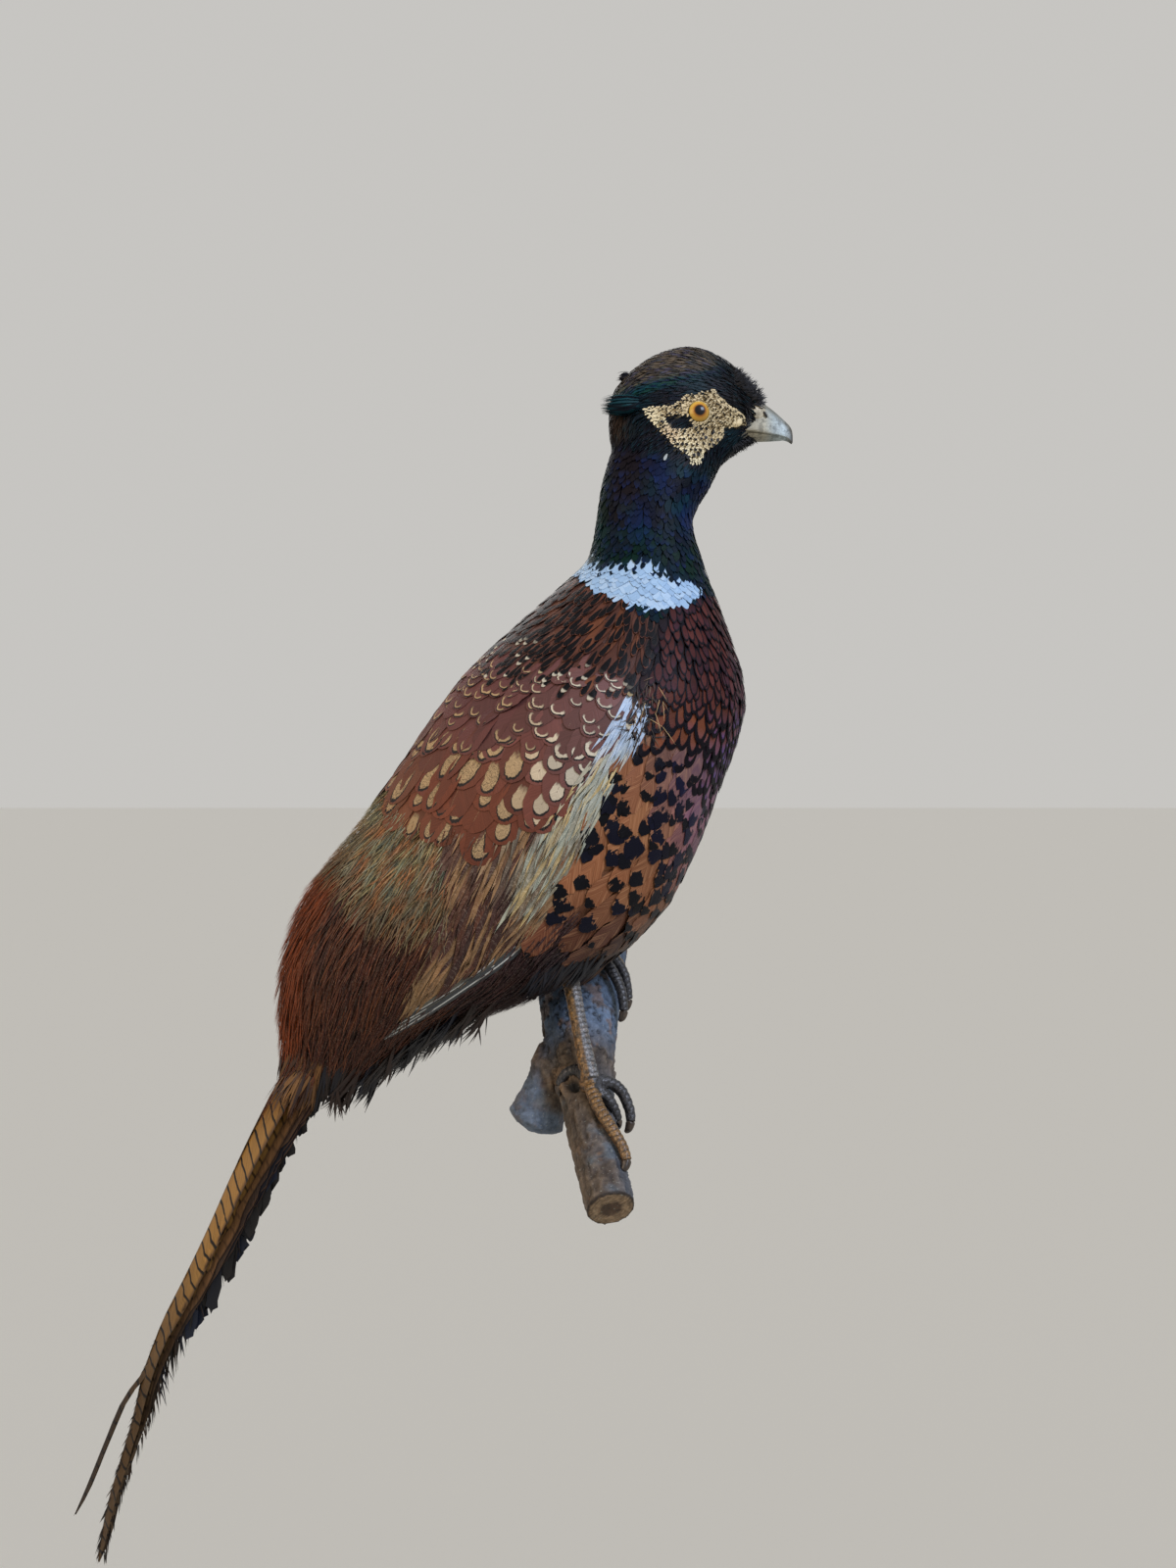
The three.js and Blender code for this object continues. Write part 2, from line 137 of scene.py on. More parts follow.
def new_material(name):
    """An empty node material, and the one function that adds nodes to it."""
    material = bpy.data.materials.new(name)
    material.use_nodes = True
    tree = material.node_tree
    tree.nodes.clear()

    def node(kind, inputs=(), stops=(), **settings):
        """Adds a node with its settings and links. An input takes a value, a socket or a node's first
        output; a colour ramp's stops are each a position and a hex colour, or a grey from 0 to 1."""
        made = tree.nodes.new("ShaderNode" + kind)
        for key, value in settings.items():
            setattr(made, key, value)
        for key, value in inputs.items() if isinstance(inputs, dict) else enumerate(inputs):
            if isinstance(value, bpy.types.Node):
                value = value.outputs[0]
            if isinstance(value, bpy.types.NodeSocket):
                tree.links.new(value, made.inputs[key])
            else:
                made.inputs[key].default_value = value
        for _ in stops[2:]:
            made.color_ramp.elements.new(0.5)
        for element, (position, colour) in zip(made.color_ramp.elements if stops else (), stops):
            element.position = position
            element.color = rgba(colour) if isinstance(colour, str) else (colour, colour, colour, 1)
        return made

    return material, node


def finish_material(node, inputs):
    """Ends a material in the shader, with these inputs."""
    node("OutputMaterial", {"Surface": node("BsdfPrincipled", inputs)})


def settle(piece, material, slot, *nodes):
    """Gives a piece its material and body, and lets it stand in for CAD nodes; its slot is not used."""
    piece.data.materials.append(material)
    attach(piece, "root")
    if nodes:
        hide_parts(*nodes)
    return piece


def search_tree(points):
    """A search tree of places, by their row."""
    tree = KDTree(len(points))
    for index, point in enumerate(points):
        tree.insert(point, index)
    tree.balance()
    return tree


def side_view(points):
    """Where points show on the bird's middle plane, in mm; its far side mirrors its near one."""
    y = np.minimum(points[..., 1], 2 * MID_Y - points[..., 1])
    nearness = (MID_Y - CAMERA_AT[1]) / (y - CAMERA_AT[1])
    x = points[..., 0] * nearness
    z = CAMERA_AT[2] + (points[..., 2] - CAMERA_AT[2]) * nearness
    return x / MM, z / MM


def inside(outline, x, z):
    """Which of the places x, z lie inside a closed outline of points."""
    found = np.zeros(x.shape, bool)
    for (x0, z0), (x1, z1) in zip(outline, outline[1:] + outline[:1]):
        crosses = (z0 > z) != (z1 > z)
        with np.errstate(divide="ignore", invalid="ignore"):
            at = x0 + (z - z0) / (z1 - z0 if z1 != z0 else 1e-9) * (x1 - x0)
        found ^= crosses & (x < at)
    return found


def lie_direction(x, z):
    """The way the coat points at places in side view, blended from the nearest of LIE."""
    guides = np.array(LIE, float)
    way = unit(guides[:, 2:])
    gap = (x[..., None] - guides[:, 0]) ** 2 + (z[..., None] - guides[:, 1]) ** 2
    weight = 1 / (gap + 40) ** 2
    blended = unit((weight[..., None] * way).sum(-2))
    return blended[..., 0], blended[..., 1]


# ---- skin and the coat's form
def put_in_scene(name, data):
    """An object in the scene with this data."""
    made = bpy.data.objects.new(name, data)
    bpy.context.scene.collection.objects.link(made)
    return made


def joined_copy(name, nodes, grow=0.0):
    """A piece that joins merged copies of CAD nodes, each grown a little so that their thin gaps close."""
    copies = []
    for node_name in nodes:
        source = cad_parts[node_name]
        copy = put_in_scene(name + "_" + node_name, source.data.copy())
        only(copy)
        bpy.ops.object.mode_set(mode="EDIT")
        bpy.ops.mesh.select_all(action="SELECT")
        bpy.ops.mesh.remove_doubles(threshold=1e-5)
        if grow:
            bpy.ops.transform.shrink_fatten(value=grow)
        bpy.ops.object.mode_set(mode="OBJECT")
        copies.append(copy)
    deselect()
    for copy in copies:
        copy.select_set(True)
    bpy.context.view_layer.objects.active = copies[0]
    if len(copies) > 1:
        bpy.ops.object.join()
    piece = bpy.context.view_layer.objects.active
    piece.name = name
    piece.data.name = name
    piece.data.materials.clear()
    return piece


def use_modifier(piece, kind, **settings):
    """Adds a modifier, sets it and applies it."""
    only(piece)
    modifier = piece.modifiers.new(kind.lower(), kind)
    for key, value in settings.items():
        setattr(modifier, key, value)
    bpy.ops.object.modifier_apply(modifier=modifier.name)


def remeshed(name, nodes, grow_mm=0.4, cell_mm=2.2, times=4, extra=None):
    """One even, closed skin over CAD nodes, and over one more piece if there is one."""
    piece = joined_copy(name, nodes, grow_mm * MM)
    if extra:
        extra.select_set(True)
        bpy.ops.object.join()
    use_modifier(piece, "REMESH", mode="VOXEL", voxel_size=cell_mm * MM)
    use_modifier(piece, "SMOOTH", factor=0.5, iterations=times)
    return piece


def vertex_rows(values, key):
    """A three-part value of each of the mesh's vertices, as rows."""
    flat = np.empty(len(values) * 3, np.float32)
    values.foreach_get(key, flat)
    return flat.reshape(-1, 3).astype(float)


def corner_array(mesh):
    """The mesh's vertices as rows."""
    return vertex_rows(mesh.vertices, "co")


def corner_normals(mesh):
    """The mesh's vertex normals as rows."""
    return vertex_rows(mesh.vertex_normals, "vector")


def set_corners(mesh, rows):
    """Moves the mesh's vertices to rows."""
    mesh.vertices.foreach_set("co", np.ascontiguousarray(rows, np.float32).ravel())
    mesh.update()


def painted(mesh, colours, key="base"):
    """Gives a mesh one of its colours for each vertex."""
    attribute = mesh.color_attributes.new(key, "FLOAT_COLOR", "POINT")
    filled = np.ones((len(colours), 4))
    filled[:, :3] = colours
    attribute.data.foreach_set("color", filled.astype(np.float32).ravel())


def smoothed(piece):
    """Shades a piece smooth."""
    only(piece)
    bpy.ops.object.shade_smooth()


def smooth_line(points, steps):
    """A smooth line through points, with this many steps between each two."""
    points = np.asarray(points, float)
    padded = np.vstack([2 * points[0] - points[1], points, 2 * points[-1] - points[-2]])
    rows = []
    for i in range(len(points) - 1):
        a, b, c, d = padded[i:i + 4]
        for k in range(steps):
            t = k / steps
            rows.append(0.5 * (2 * b + (c - a) * t + (2 * a - 5 * b + 4 * c - d) * t * t
                               + (3 * b - a - 3 * c + d) * t ** 3))
    rows.append(points[-1])
    return np.array(rows)


class Form:
    """The coat's outer form as a net of places: s runs from the bill to the tail, t goes once round."""

    def __init__(self, surface):
        lines = smooth_line(BODY_LINES, STEPS_PER_BAY) * MM
        back, front = lines[:, :2], lines[:, 2:]
        self.last = len(lines) - 1
        tree = BVHTree.FromObject(surface, bpy.context.evaluated_depsgraph_get())
        net = np.zeros((len(lines), ROUND_STEPS, 3))
        for i, (top, low) in enumerate(zip(back, front)):
            centre = (top + low) / 2
            up = (top - low) / np.linalg.norm(top - low)
            for j in range(ROUND_STEPS):
                turn = 2 * math.pi * j / ROUND_STEPS
                way = Vector((up[0] * math.cos(turn), math.sin(turn), up[1] * math.cos(turn)))
                hit = tree.ray_cast(Vector((centre[0], MID_Y, centre[1])), way)[0]
                net[i, j] = hit if hit else Vector((centre[0], MID_Y, centre[1])) + way * 0.01
        for _ in range(2):
            net[1:-1] = net[1:-1] * 0.5 + (net[2:] + net[:-2]) * 0.25
            net = net * 0.5 + (np.roll(net, 1, 1) + np.roll(net, -1, 1)) * 0.25
        nearest = [tree.find_nearest(point)[0] for point in net.reshape(-1, 3)]
        net = np.array(nearest).reshape(net.shape)
        self.place = net
        self.along = np.gradient(net, axis=0)
        self.round = (np.roll(net, -1, 1) - np.roll(net, 1, 1)) / 2
        outward = np.cross(self.along, self.round)
        middle = net.mean(1, keepdims=True)
        outward *= np.sign(dot(outward, net - middle).mean())
        self.outward = unit(outward)

    def read(self, net, s, t):
        """A net's values at fractional places."""
        s = np.clip(s, 0, self.last - 1e-6)
        i = s.astype(int)
        j = np.floor(t).astype(int)
        f, g = (s - i)[..., None], (t - j)[..., None]
        j, after = j % ROUND_STEPS, (j + 1) % ROUND_STEPS
        first = net[i, j] * (1 - g) + net[i, after] * g
        return first * (1 - f) + (net[i + 1, j] * (1 - g) + net[i + 1, after] * g) * f

    def at(self, s, t):
        """Place, outward normal and both net directions; past either end the form runs on straight."""
        along = self.read(self.along, s, t)
        beyond = (s - np.clip(s, 0, self.last))[..., None]
        place = self.read(self.place, s, t) + along * beyond
        return place, unit(self.read(self.outward, s, t)), along, self.read(self.round, s, t)

    def find(self, x, z, side):
        """The net places that show at x, z in side view, on the near side (-1) or the far one (1)."""
        if not hasattr(self, "finder"):
            fine_s, fine_t = np.meshgrid(np.arange(0, self.last, 0.25), np.arange(0, ROUND_STEPS, 0.5),
                                         indexing="ij")
            fine_s, fine_t = fine_s.ravel(), fine_t.ravel()
            place = self.at(fine_s, fine_t)[0]
            self.finder = {}
            for each in (-1, 1):
                keep = (place[:, 1] - MID_Y) * each > 0.1 * MM
                tree = search_tree([(across, up, 0) for across, up in zip(*side_view(place[keep]))])
                self.finder[each] = (tree, fine_s[keep], fine_t[keep])
        tree, fine_s, fine_t = self.finder[side]
        found = [tree.find((across, up, 0))[1] for across, up in zip(x, z)]
        return fine_s[found], fine_t[found]

    def roots(self, wanted, spacing, aspect=1.0, reach=0.0, seed=1, crowd=8):
        """Root places where wanted(x, z, s, normal) holds for the feather's tip, which lies reach mm on.

        Neighbours are spacing mm apart across the lie of the coat, and aspect times that along it."""
        random = np.random.default_rng(seed)
        cell = np.linalg.norm(np.cross(self.along, self.round), axis=-1)[:-1]
        chance = cell.ravel() / cell.sum()
        closest = spacing(*side_view(self.place)).min() if callable(spacing) else spacing
        tries = int(crowd * cell.sum() / (closest * MM) ** 2 / aspect)
        picked = random.choice(cell.size, tries, p=chance)
        s = picked // ROUND_STEPS + random.random(tries)
        t = picked % ROUND_STEPS + random.random(tries)
        place, normal, _, _ = self.at(s, t)
        x, z = side_view(place)
        dx, dz = lie_direction(x, z)
        keep = wanted(x + dx * reach, z + dz * reach, s, normal)
        gap_mm = spacing(x, z) if callable(spacing) else np.full(len(x), float(spacing))
        s, t, place, normal, dx, dz, gap_mm = (q[keep] for q in (s, t, place, normal, dx, dz, gap_mm))
        way = np.stack([dx, np.zeros(len(dx)), dz], -1)
        way = unit(way - dot(way, normal) * normal)
        tree = search_tree(place)
        free = np.ones(len(s), bool)
        chosen = []
        for index in range(len(s)):
            if free[index]:
                chosen.append(index)
                apart = gap_mm[index] * MM
                found = tree.find_range(place[index], apart * aspect)
                near = np.array([entry[1] for entry in found])
                gap = place[near] - place[index]
                ahead = gap @ way[index]
                width = (gap ** 2).sum(-1) - ahead ** 2 + (ahead / aspect) ** 2
                free[near[width < apart ** 2]] = False
        return s[chosen], t[chosen]


# ---- feathers
RINGS = {
    # a section's corners from -1 to 1 across the vane, how far down each is in its thickness, and how
    # many of the faces between them are on top
    "broad": ([-1, -0.55, 0, 0.55, 1, 0], [0, 0, 0, 0, 0, 1], 4),
    "roof": ([-1, -0.55, -0.12, 0, 0.12, 0.55, 1, 0.12, 0, -0.12], [0, 0, 0, 0, 0, 0, 0, 1, 1, 1], 6),
    "plain": ([-1, 0, 1, 0], [0, 0, 0, 1], 2),
    "hair": ([-1, 0, 1], [1, 0, 1], 2),
}


def round_tip(v, start, reach, least=0, power=2):
    """A vane's rounded end: its share of the half width from start on."""
    return np.sqrt(np.clip(1 - (np.clip(v - start, 0, 1) / reach) ** power, least, 1))


def rounded(v):
    """Half width of a contour feather along its length: narrow foot, full round tip."""
    return (0.45 + 0.55 * ease(0, 0.55, v)) * round_tip(v, 0.66, 0.36)


def pointed(v):
    """Half width of a lance-shaped feather: widest before the middle, with a drawn-out point."""
    return (0.4 + 0.6 * ease(0, 0.4, v)) * (1 - 0.94 * np.clip((v - 0.4) / 0.6, 0, 1) ** 1.5)


def oval(v):
    """Half width of a scale-like feather: full, drawn to a blunt point."""
    return (0.45 + 0.55 * ease(0, 0.5, v)) * round_tip(v, 0.55, 0.455, 0.002, 2.2)


def strand(v):
    """Half width of a hair-like strand, thin at its tip."""
    return (0.6 + 0.4 * ease(0, 0.3, v)) * (1 - 0.92 * v ** 1.8)


def blade(v):
    """Half width of a flight feather: even, with a rounded tip."""
    return (0.7 + 0.3 * ease(0, 0.2, v)) * round_tip(v, 0.86, 0.15, 0.01)


def along_form(form, s, t, length, steps, depth, lift=0.0, free=0.0, yaw=0.0):
    """Centre lines of feathers that lie on the form: places, normals and ways at each step."""
    v = np.array(steps)
    count = len(s)
    length, depth, lift, free, yaw = (np.broadcast_to(np.asarray(q, float), count)
                                      for q in (length, depth, lift, free, yaw))
    places, normals, ways = [], [], []
    s, t = s.copy(), t.copy()
    for k in range(len(v)):
        place, normal, along, around = form.at(s, t)
        x, z = side_view(place)
        dx, dz = lie_direction(x, z)
        way = np.stack([dx, np.zeros(count), dz], -1) + 0.12 * unit(along)
        way = unit(way - dot(way, normal) * normal)
        across = np.cross(normal, way)
        way = np.cos(yaw)[:, None] * way + np.sin(yaw)[:, None] * across
        places.append(place)
        normals.append(normal)
        ways.append(way)
        if k + 1 < len(v):
            step = (length * (v[k + 1] - v[k]))[:, None] * way
            a, b, c = dot(along, along)[:, 0], dot(along, around)[:, 0], dot(around, around)[:, 0]
            p, q = dot(step, along)[:, 0], dot(step, around)[:, 0]
            fit = np.maximum(a * c - b * b, 1e-16)
            s = s + np.clip((c * p - b * q) / fit, -9, 9)
            t = t + np.clip((a * q - b * p) / fit, -9, 9)
    places, normals, ways = (np.stack(q, 1) for q in (places, normals, ways))
    loose = free[:, None, None] * (v ** 1.6)[None, :, None]
    straight = places[:, :1] + ways[:, :1] * (length[:, None] * v[None, :])[..., None]
    places = places * (1 - loose) + straight * loose
    ways = unit(ways * (1 - loose) + ways[:, :1] * loose)
    height = -depth[:, None] * (1 - v[None, :]) ** 1.3 + lift[:, None] * v[None, :] ** 2
    return places + normals * height[..., None], normals, ways


def tube_faces(rows, around):
    """The faces between rings of corners, row by row, and the two that cap the ends."""
    quads = []
    for row in range(rows - 1):
        for k in range(around):
            near, after = row * around, (k + 1) % around
            quads.append((near + k, near + around + k, near + around + after, near + after))
    return quads, [tuple(range(around)), tuple(range(rows * around - 1, (rows - 1) * around - 1, -1))]


def feather_mesh(name, lines, steps, half_width, length, ring="plain", outline=rounded, cup=0.2,
                 thick=0.12 * MM, fray=0.0, jag=0.0, colours=None, numbers=None, spot=None, patch=None,
                 seed=1):
    """Joins closed thin vanes along centre lines into one piece with its maps and attributes.

    spot is the half width, half height and distance from the tip of the vane's mark, in metres."""
    places, normals, ways = lines
    count, rows = places.shape[:2]
    u, drop, top_faces = RINGS[ring]
    u, drop = np.array(u, float), np.array(drop, float)
    around = len(u)
    v = np.array(steps)
    random = np.random.default_rng(seed)
    half_width, length = (np.broadcast_to(np.asarray(q, float), count) for q in (half_width, length))
    across = unit(np.cross(normals, ways))
    half = half_width[:, None] * outline(v)[None, :]
    half = np.maximum(half, half_width[:, None] * 0.05)
    torn = fray * length[:, None] * random.random((count, around)) * (np.abs(u) > 0)
    torn = torn[:, None, :] * np.clip((v - 0.45) / 0.55, 0, 1)[None, :, None]
    ragged = 1 - jag * random.random((count, rows, around)) * (np.abs(u) > 0.9) * (v > 0.3)[None, :, None]
    offset = half[..., None] * u * ragged
    bend = np.abs(u) if ring == "roof" else u ** 2
    thin = np.clip(half / half_width[:, None] * 2, 0.1, 1)[..., None]
    fall = cup * half[..., None] * bend + thick * drop * thin
    corners = (places[:, :, None] + across[:, :, None] * offset[..., None]
               - normals[:, :, None] * fall[..., None] - ways[:, :, None] * torn[..., None])
    corners = corners.reshape(-1, 3)

    quads, caps = tube_faces(rows, around)
    on_top = [k < top_faces for k in range(around)] * (rows - 1)
    template = [corner for face in quads + caps for corner in face]
    sizes = np.array([4] * len(quads) + [around] * 2)
    per_vane = rows * around
    loops = (np.array(template)[None, :] + per_vane * np.arange(count)[:, None]).ravel()
    totals = np.tile(sizes, count)
    starts = np.concatenate([[0], np.cumsum(totals)[:-1]])

    mesh = bpy.data.meshes.new(name)
    mesh.vertices.add(len(corners))
    mesh.vertices.foreach_set("co", corners.astype(np.float32).ravel())
    mesh.loops.add(len(loops))
    mesh.loops.foreach_set("vertex_index", loops.astype(np.int32))
    mesh.polygons.add(len(totals))
    mesh.polygons.foreach_set("loop_start", starts.astype(np.int32))
    mesh.polygons.foreach_set("use_smooth", np.tile(on_top + [False, False], count))

    def map_of(across, along):
        return np.stack(np.broadcast_arrays(across, along[..., None], offset)[:2], -1)

    # across and along the vane, as shares of it, in units of 10 mm, and in the mark's own half sizes
    vane = map_of(u * 0.5 + 0.5, v)
    corner_of, size = patch
    maps = {"OFBake": corner_of[:, None, None, :] + size * vane, "vane": vane,
            "lie": map_of(offset / (10 * MM), length[:, None] * v / (10 * MM))}
    if spot is not None:
        spot_half, spot_high, from_tip = (np.broadcast_to(np.asarray(q, float), count)[:, None] for q in spot)
        ahead = ((v - 1) * length[:, None] + from_tip) / spot_high
        maps["spot"] = map_of(offset / spot_half[..., None], ahead)
    for layer, values in maps.items():
        uv = mesh.uv_layers.new(name=layer)
        uv.data.foreach_set("uv", values.reshape(-1, 2)[loops].astype(np.float32).ravel())
    for key, rows_of in (colours or {}).items():
        each = rows_of[:, None, None] if rows_of.ndim == 2 else rows_of[:, :, None]
        painted(mesh, np.broadcast_to(each, (count, rows, around, 3)).reshape(-1, 3), key)
    for key, value in {"lot": random.random(count), **(numbers or {})}.items():
        attribute = mesh.attributes.new(key, "FLOAT", "POINT")
        value = np.broadcast_to(np.asarray(value, float), count)
        attribute.data.foreach_set("value", np.repeat(value, per_vane).astype(np.float32))
    mesh.update(calc_edges=True)
    ends = np.empty(len(mesh.edges) * 2, np.int32)
    mesh.edges.foreach_get("vertices", ends)
    ends = ends.reshape(-1, 2)
    rim = (ends[:, 0] % around == ends[:, 1] % around) & (np.abs(u[ends[:, 0] % around]) == 1)
    row_of = ends // around % rows
    rim |= (row_of[:, 0] == row_of[:, 1]) & np.isin(row_of[:, 0], [0, rows - 1])
    crease = mesh.attributes.new("sharp_edge", "BOOLEAN", "EDGE")
    crease.data.foreach_set("value", rim)
    return put_in_scene(name, mesh)


def root_patches(s, t):
    """Bake patches at the roots' places on the form's own unwrap, as large as they can be without overlap."""
    place = np.stack([s, t % ROUND_STEPS], -1)
    low, high = place.min(0), place.max(0)
    place = 0.01 + 0.96 * (place - low) / np.maximum(high - low, 1e-6)
    tree = search_tree([(a, b, 0) for a, b in place])
    gaps = np.array([tree.find_n((a, b, 0), 2)[-1][2] for a, b in place])
    return place, float(np.clip(np.percentile(gaps, 20) / 1.42, 0.003, 0.03))


# ---- where each part of the coat lies
# Outlines in side view on the middle plane, in mm.
FACE = [(30, 287), (37, 288), (47, 288.5), (51, 291.5), (54, 294.5), (60, 295), (69.5, 297.5), (71.5, 294),
        (77, 289), (83, 285), (87.5, 280.5), (87, 277.5), (79.5, 277), (74.5, 277.5), (73.5, 269.5),
        (70, 266.5), (64, 263), (61.5, 256.5), (56.5, 256), (55.5, 261), (46, 267.5), (40.5, 274),
        (34, 280.5)]
EYE_BAR = [(40.8, 283), (55, 283.8), (58, 275.8), (45, 275.2)]
COLLAR = [(-10, 207), (-2.5, 203), (3.5, 199.8), (9.3, 195.4), (16, 198), (24, 199), (32, 199), (38.8, 196.8),
          (43, 192.4), (52, 192.4), (59.4, 188), (59, 183), (53.5, 179.2), (46, 177), (38.8, 175.5),
          (24, 177.7), (14, 182), (7.8, 185), (-1, 192.4), (-10, 199)]
RICTUS = [(79, 272.3), (84, 274.2), (88.5, 277.2), (93, 279), (93, 270.8), (86, 271.7)]
BILL_FOOT = [(87.5, 272), (90, 279), (89, 285), (91, 288.5), (94, 291), (99, 291), (99, 268), (87.5, 270.5)]
MANTLE = [(-14, 212), (-110, 190), (-72, 158), (-52, 140), (-22, 133), (27, 130), (36, 150), (38, 170),
          (22, 183)]
SCAPULARS = [(-110, 190), (-72, 158), (-52, 140), (-22, 133), (27, 130), (20, 118), (16, 108), (8, 95),
             (-4, 79), (-25, 62), (-54, 50), (-72, 53), (-94, 51), (-106, 70), (-130, 80), (-150, 120)]
BREAST = [(27, 130), (36, 150), (38, 170), (46, 179), (60, 181.5), (80, 188), (130, 190), (130, 30), (78, 34),
          (71, 56), (62, 74), (50, 90), (30, 97), (28, 112)]
SHOULDER_STRIP = [(14, 117), (32, 116), (29, 104), (14, 88), (6, 68), (0, 52), (-12, 30), (-24, 13), (-34, 2),
                  (-43, 8), (-38, 30), (-29, 48), (-15, 68), (1, 88), (10, 105)]
WING = [(-72, 53), (-53.5, 50), (-25, 62), (-21.5, 42), (-26, 26), (-20.5, 18), (-15.5, 15), (-35, -10),
        (-53.5, -27), (-69, -41), (-92, -55), (-102, -58), (-102, -50), (-95, -34.5), (-88.5, -20.5),
        (-78.5, -1), (-75.5, 12.5), (-80, 32), (-80, 50)]
RUMP = [(-130, 80), (-106, 70), (-94, 51), (-80, 50), (-80, 32), (-76, 12), (-78, -1), (-86, -12),
        (-100, -12), (-115, -8), (-128, 0), (-139, 14), (-150, 30), (-190, 60)]
NECK_FOOT = ([-25, 0, 22, 33, 38, 46, 60, 80], [204, 190, 178, 168, 168, 178, 181, 188])
NAPE_S = 8.6 * STEPS_PER_BAY         # the head's feathers end here and the neck's begin
REAR_X = -76                         # behind this the rump's and tail's long coverts begin
REAR_FOOT = ([-200, -165, -150, -135, -100], [-90, -94, -104, -112, -112])     # the coverts' tips end here
THIGH = [(-76, -2), (-35, -10), (-15, 2), (-12, -22), (-30, -44), (-50, -75), (-110, -75), (-76, -45)]

TRACT_NAMES = ["face", "head", "collar", "neck", "strip", "breast", "mantle", "scapulars", "wing", "rump",
               "rear", "thigh", "flank", "bare"]
TRACT = {name: index for index, name in enumerate(TRACT_NAMES)}


def tract_at(x, z, s):
    """The number of the tract that each place in side view belongs to."""
    found = np.full(x.shape, TRACT["flank"])
    found[(x < -25) & (z > 10)] = TRACT["wing"]
    found[z > 116] = TRACT["mantle"]
    found[inside(THIGH, x, z)] = TRACT["thigh"]
    found[x < REAR_X] = TRACT["rear"]
    found[(x < REAR_X) & (z < np.interp(x, *REAR_FOOT))] = TRACT["bare"]
    outlines = [("rump", RUMP), ("wing", WING), ("scapulars", SCAPULARS), ("mantle", MANTLE),
                ("breast", BREAST), ("strip", SHOULDER_STRIP)]
    for name, outline in outlines:
        found[inside(outline, x, z)] = TRACT[name]
    found[(z > np.interp(x, *NECK_FOOT)) & (x > -25)] = TRACT["neck"]
    found[inside(COLLAR, x, z) & (s > NAPE_S)] = TRACT["collar"]
    found[s < NAPE_S] = TRACT["head"]
    found[inside(FACE, x, z) & ~inside(EYE_BAR, x, z) & (s < NAPE_S + STEPS_PER_BAY)] = TRACT["face"]
    found[inside(BILL_FOOT, x, z) & (s < NAPE_S)] = TRACT["bare"]
    found[inside(RICTUS, x, z) & (s < NAPE_S)] = TRACT["bare"]
    return found


def speckle(x, z, size, seed):
    """Smooth random values from 0 to 1 over side view, in patches of about this size in mm."""
    random = np.random.default_rng(seed)
    total = np.zeros(np.shape(x))
    for _ in range(6):
        turn, phase = random.random(2) * 2 * math.pi
        pitch = size * (1.2 + random.random())
        total = total + np.sin((x * math.cos(turn) + z * math.sin(turn)) * 2 * math.pi / pitch + phase)
    return np.clip(0.5 + total / 5, 0, 1)


def pick(colours, chance):
    """One of some colours for each chance from 0 to 1."""
    rows = np.array([linear(colour) for colour in colours])
    return rows[np.minimum((chance * len(colours)).astype(int), len(colours) - 1)]


def streak(x, z, width, seed):
    """Smooth random values from 0 to 1 in long streaks down the wing, about this wide in mm."""
    return speckle(0.89 * x - 0.45 * z, 0.14 * (0.45 * x + 0.89 * z), width, seed)


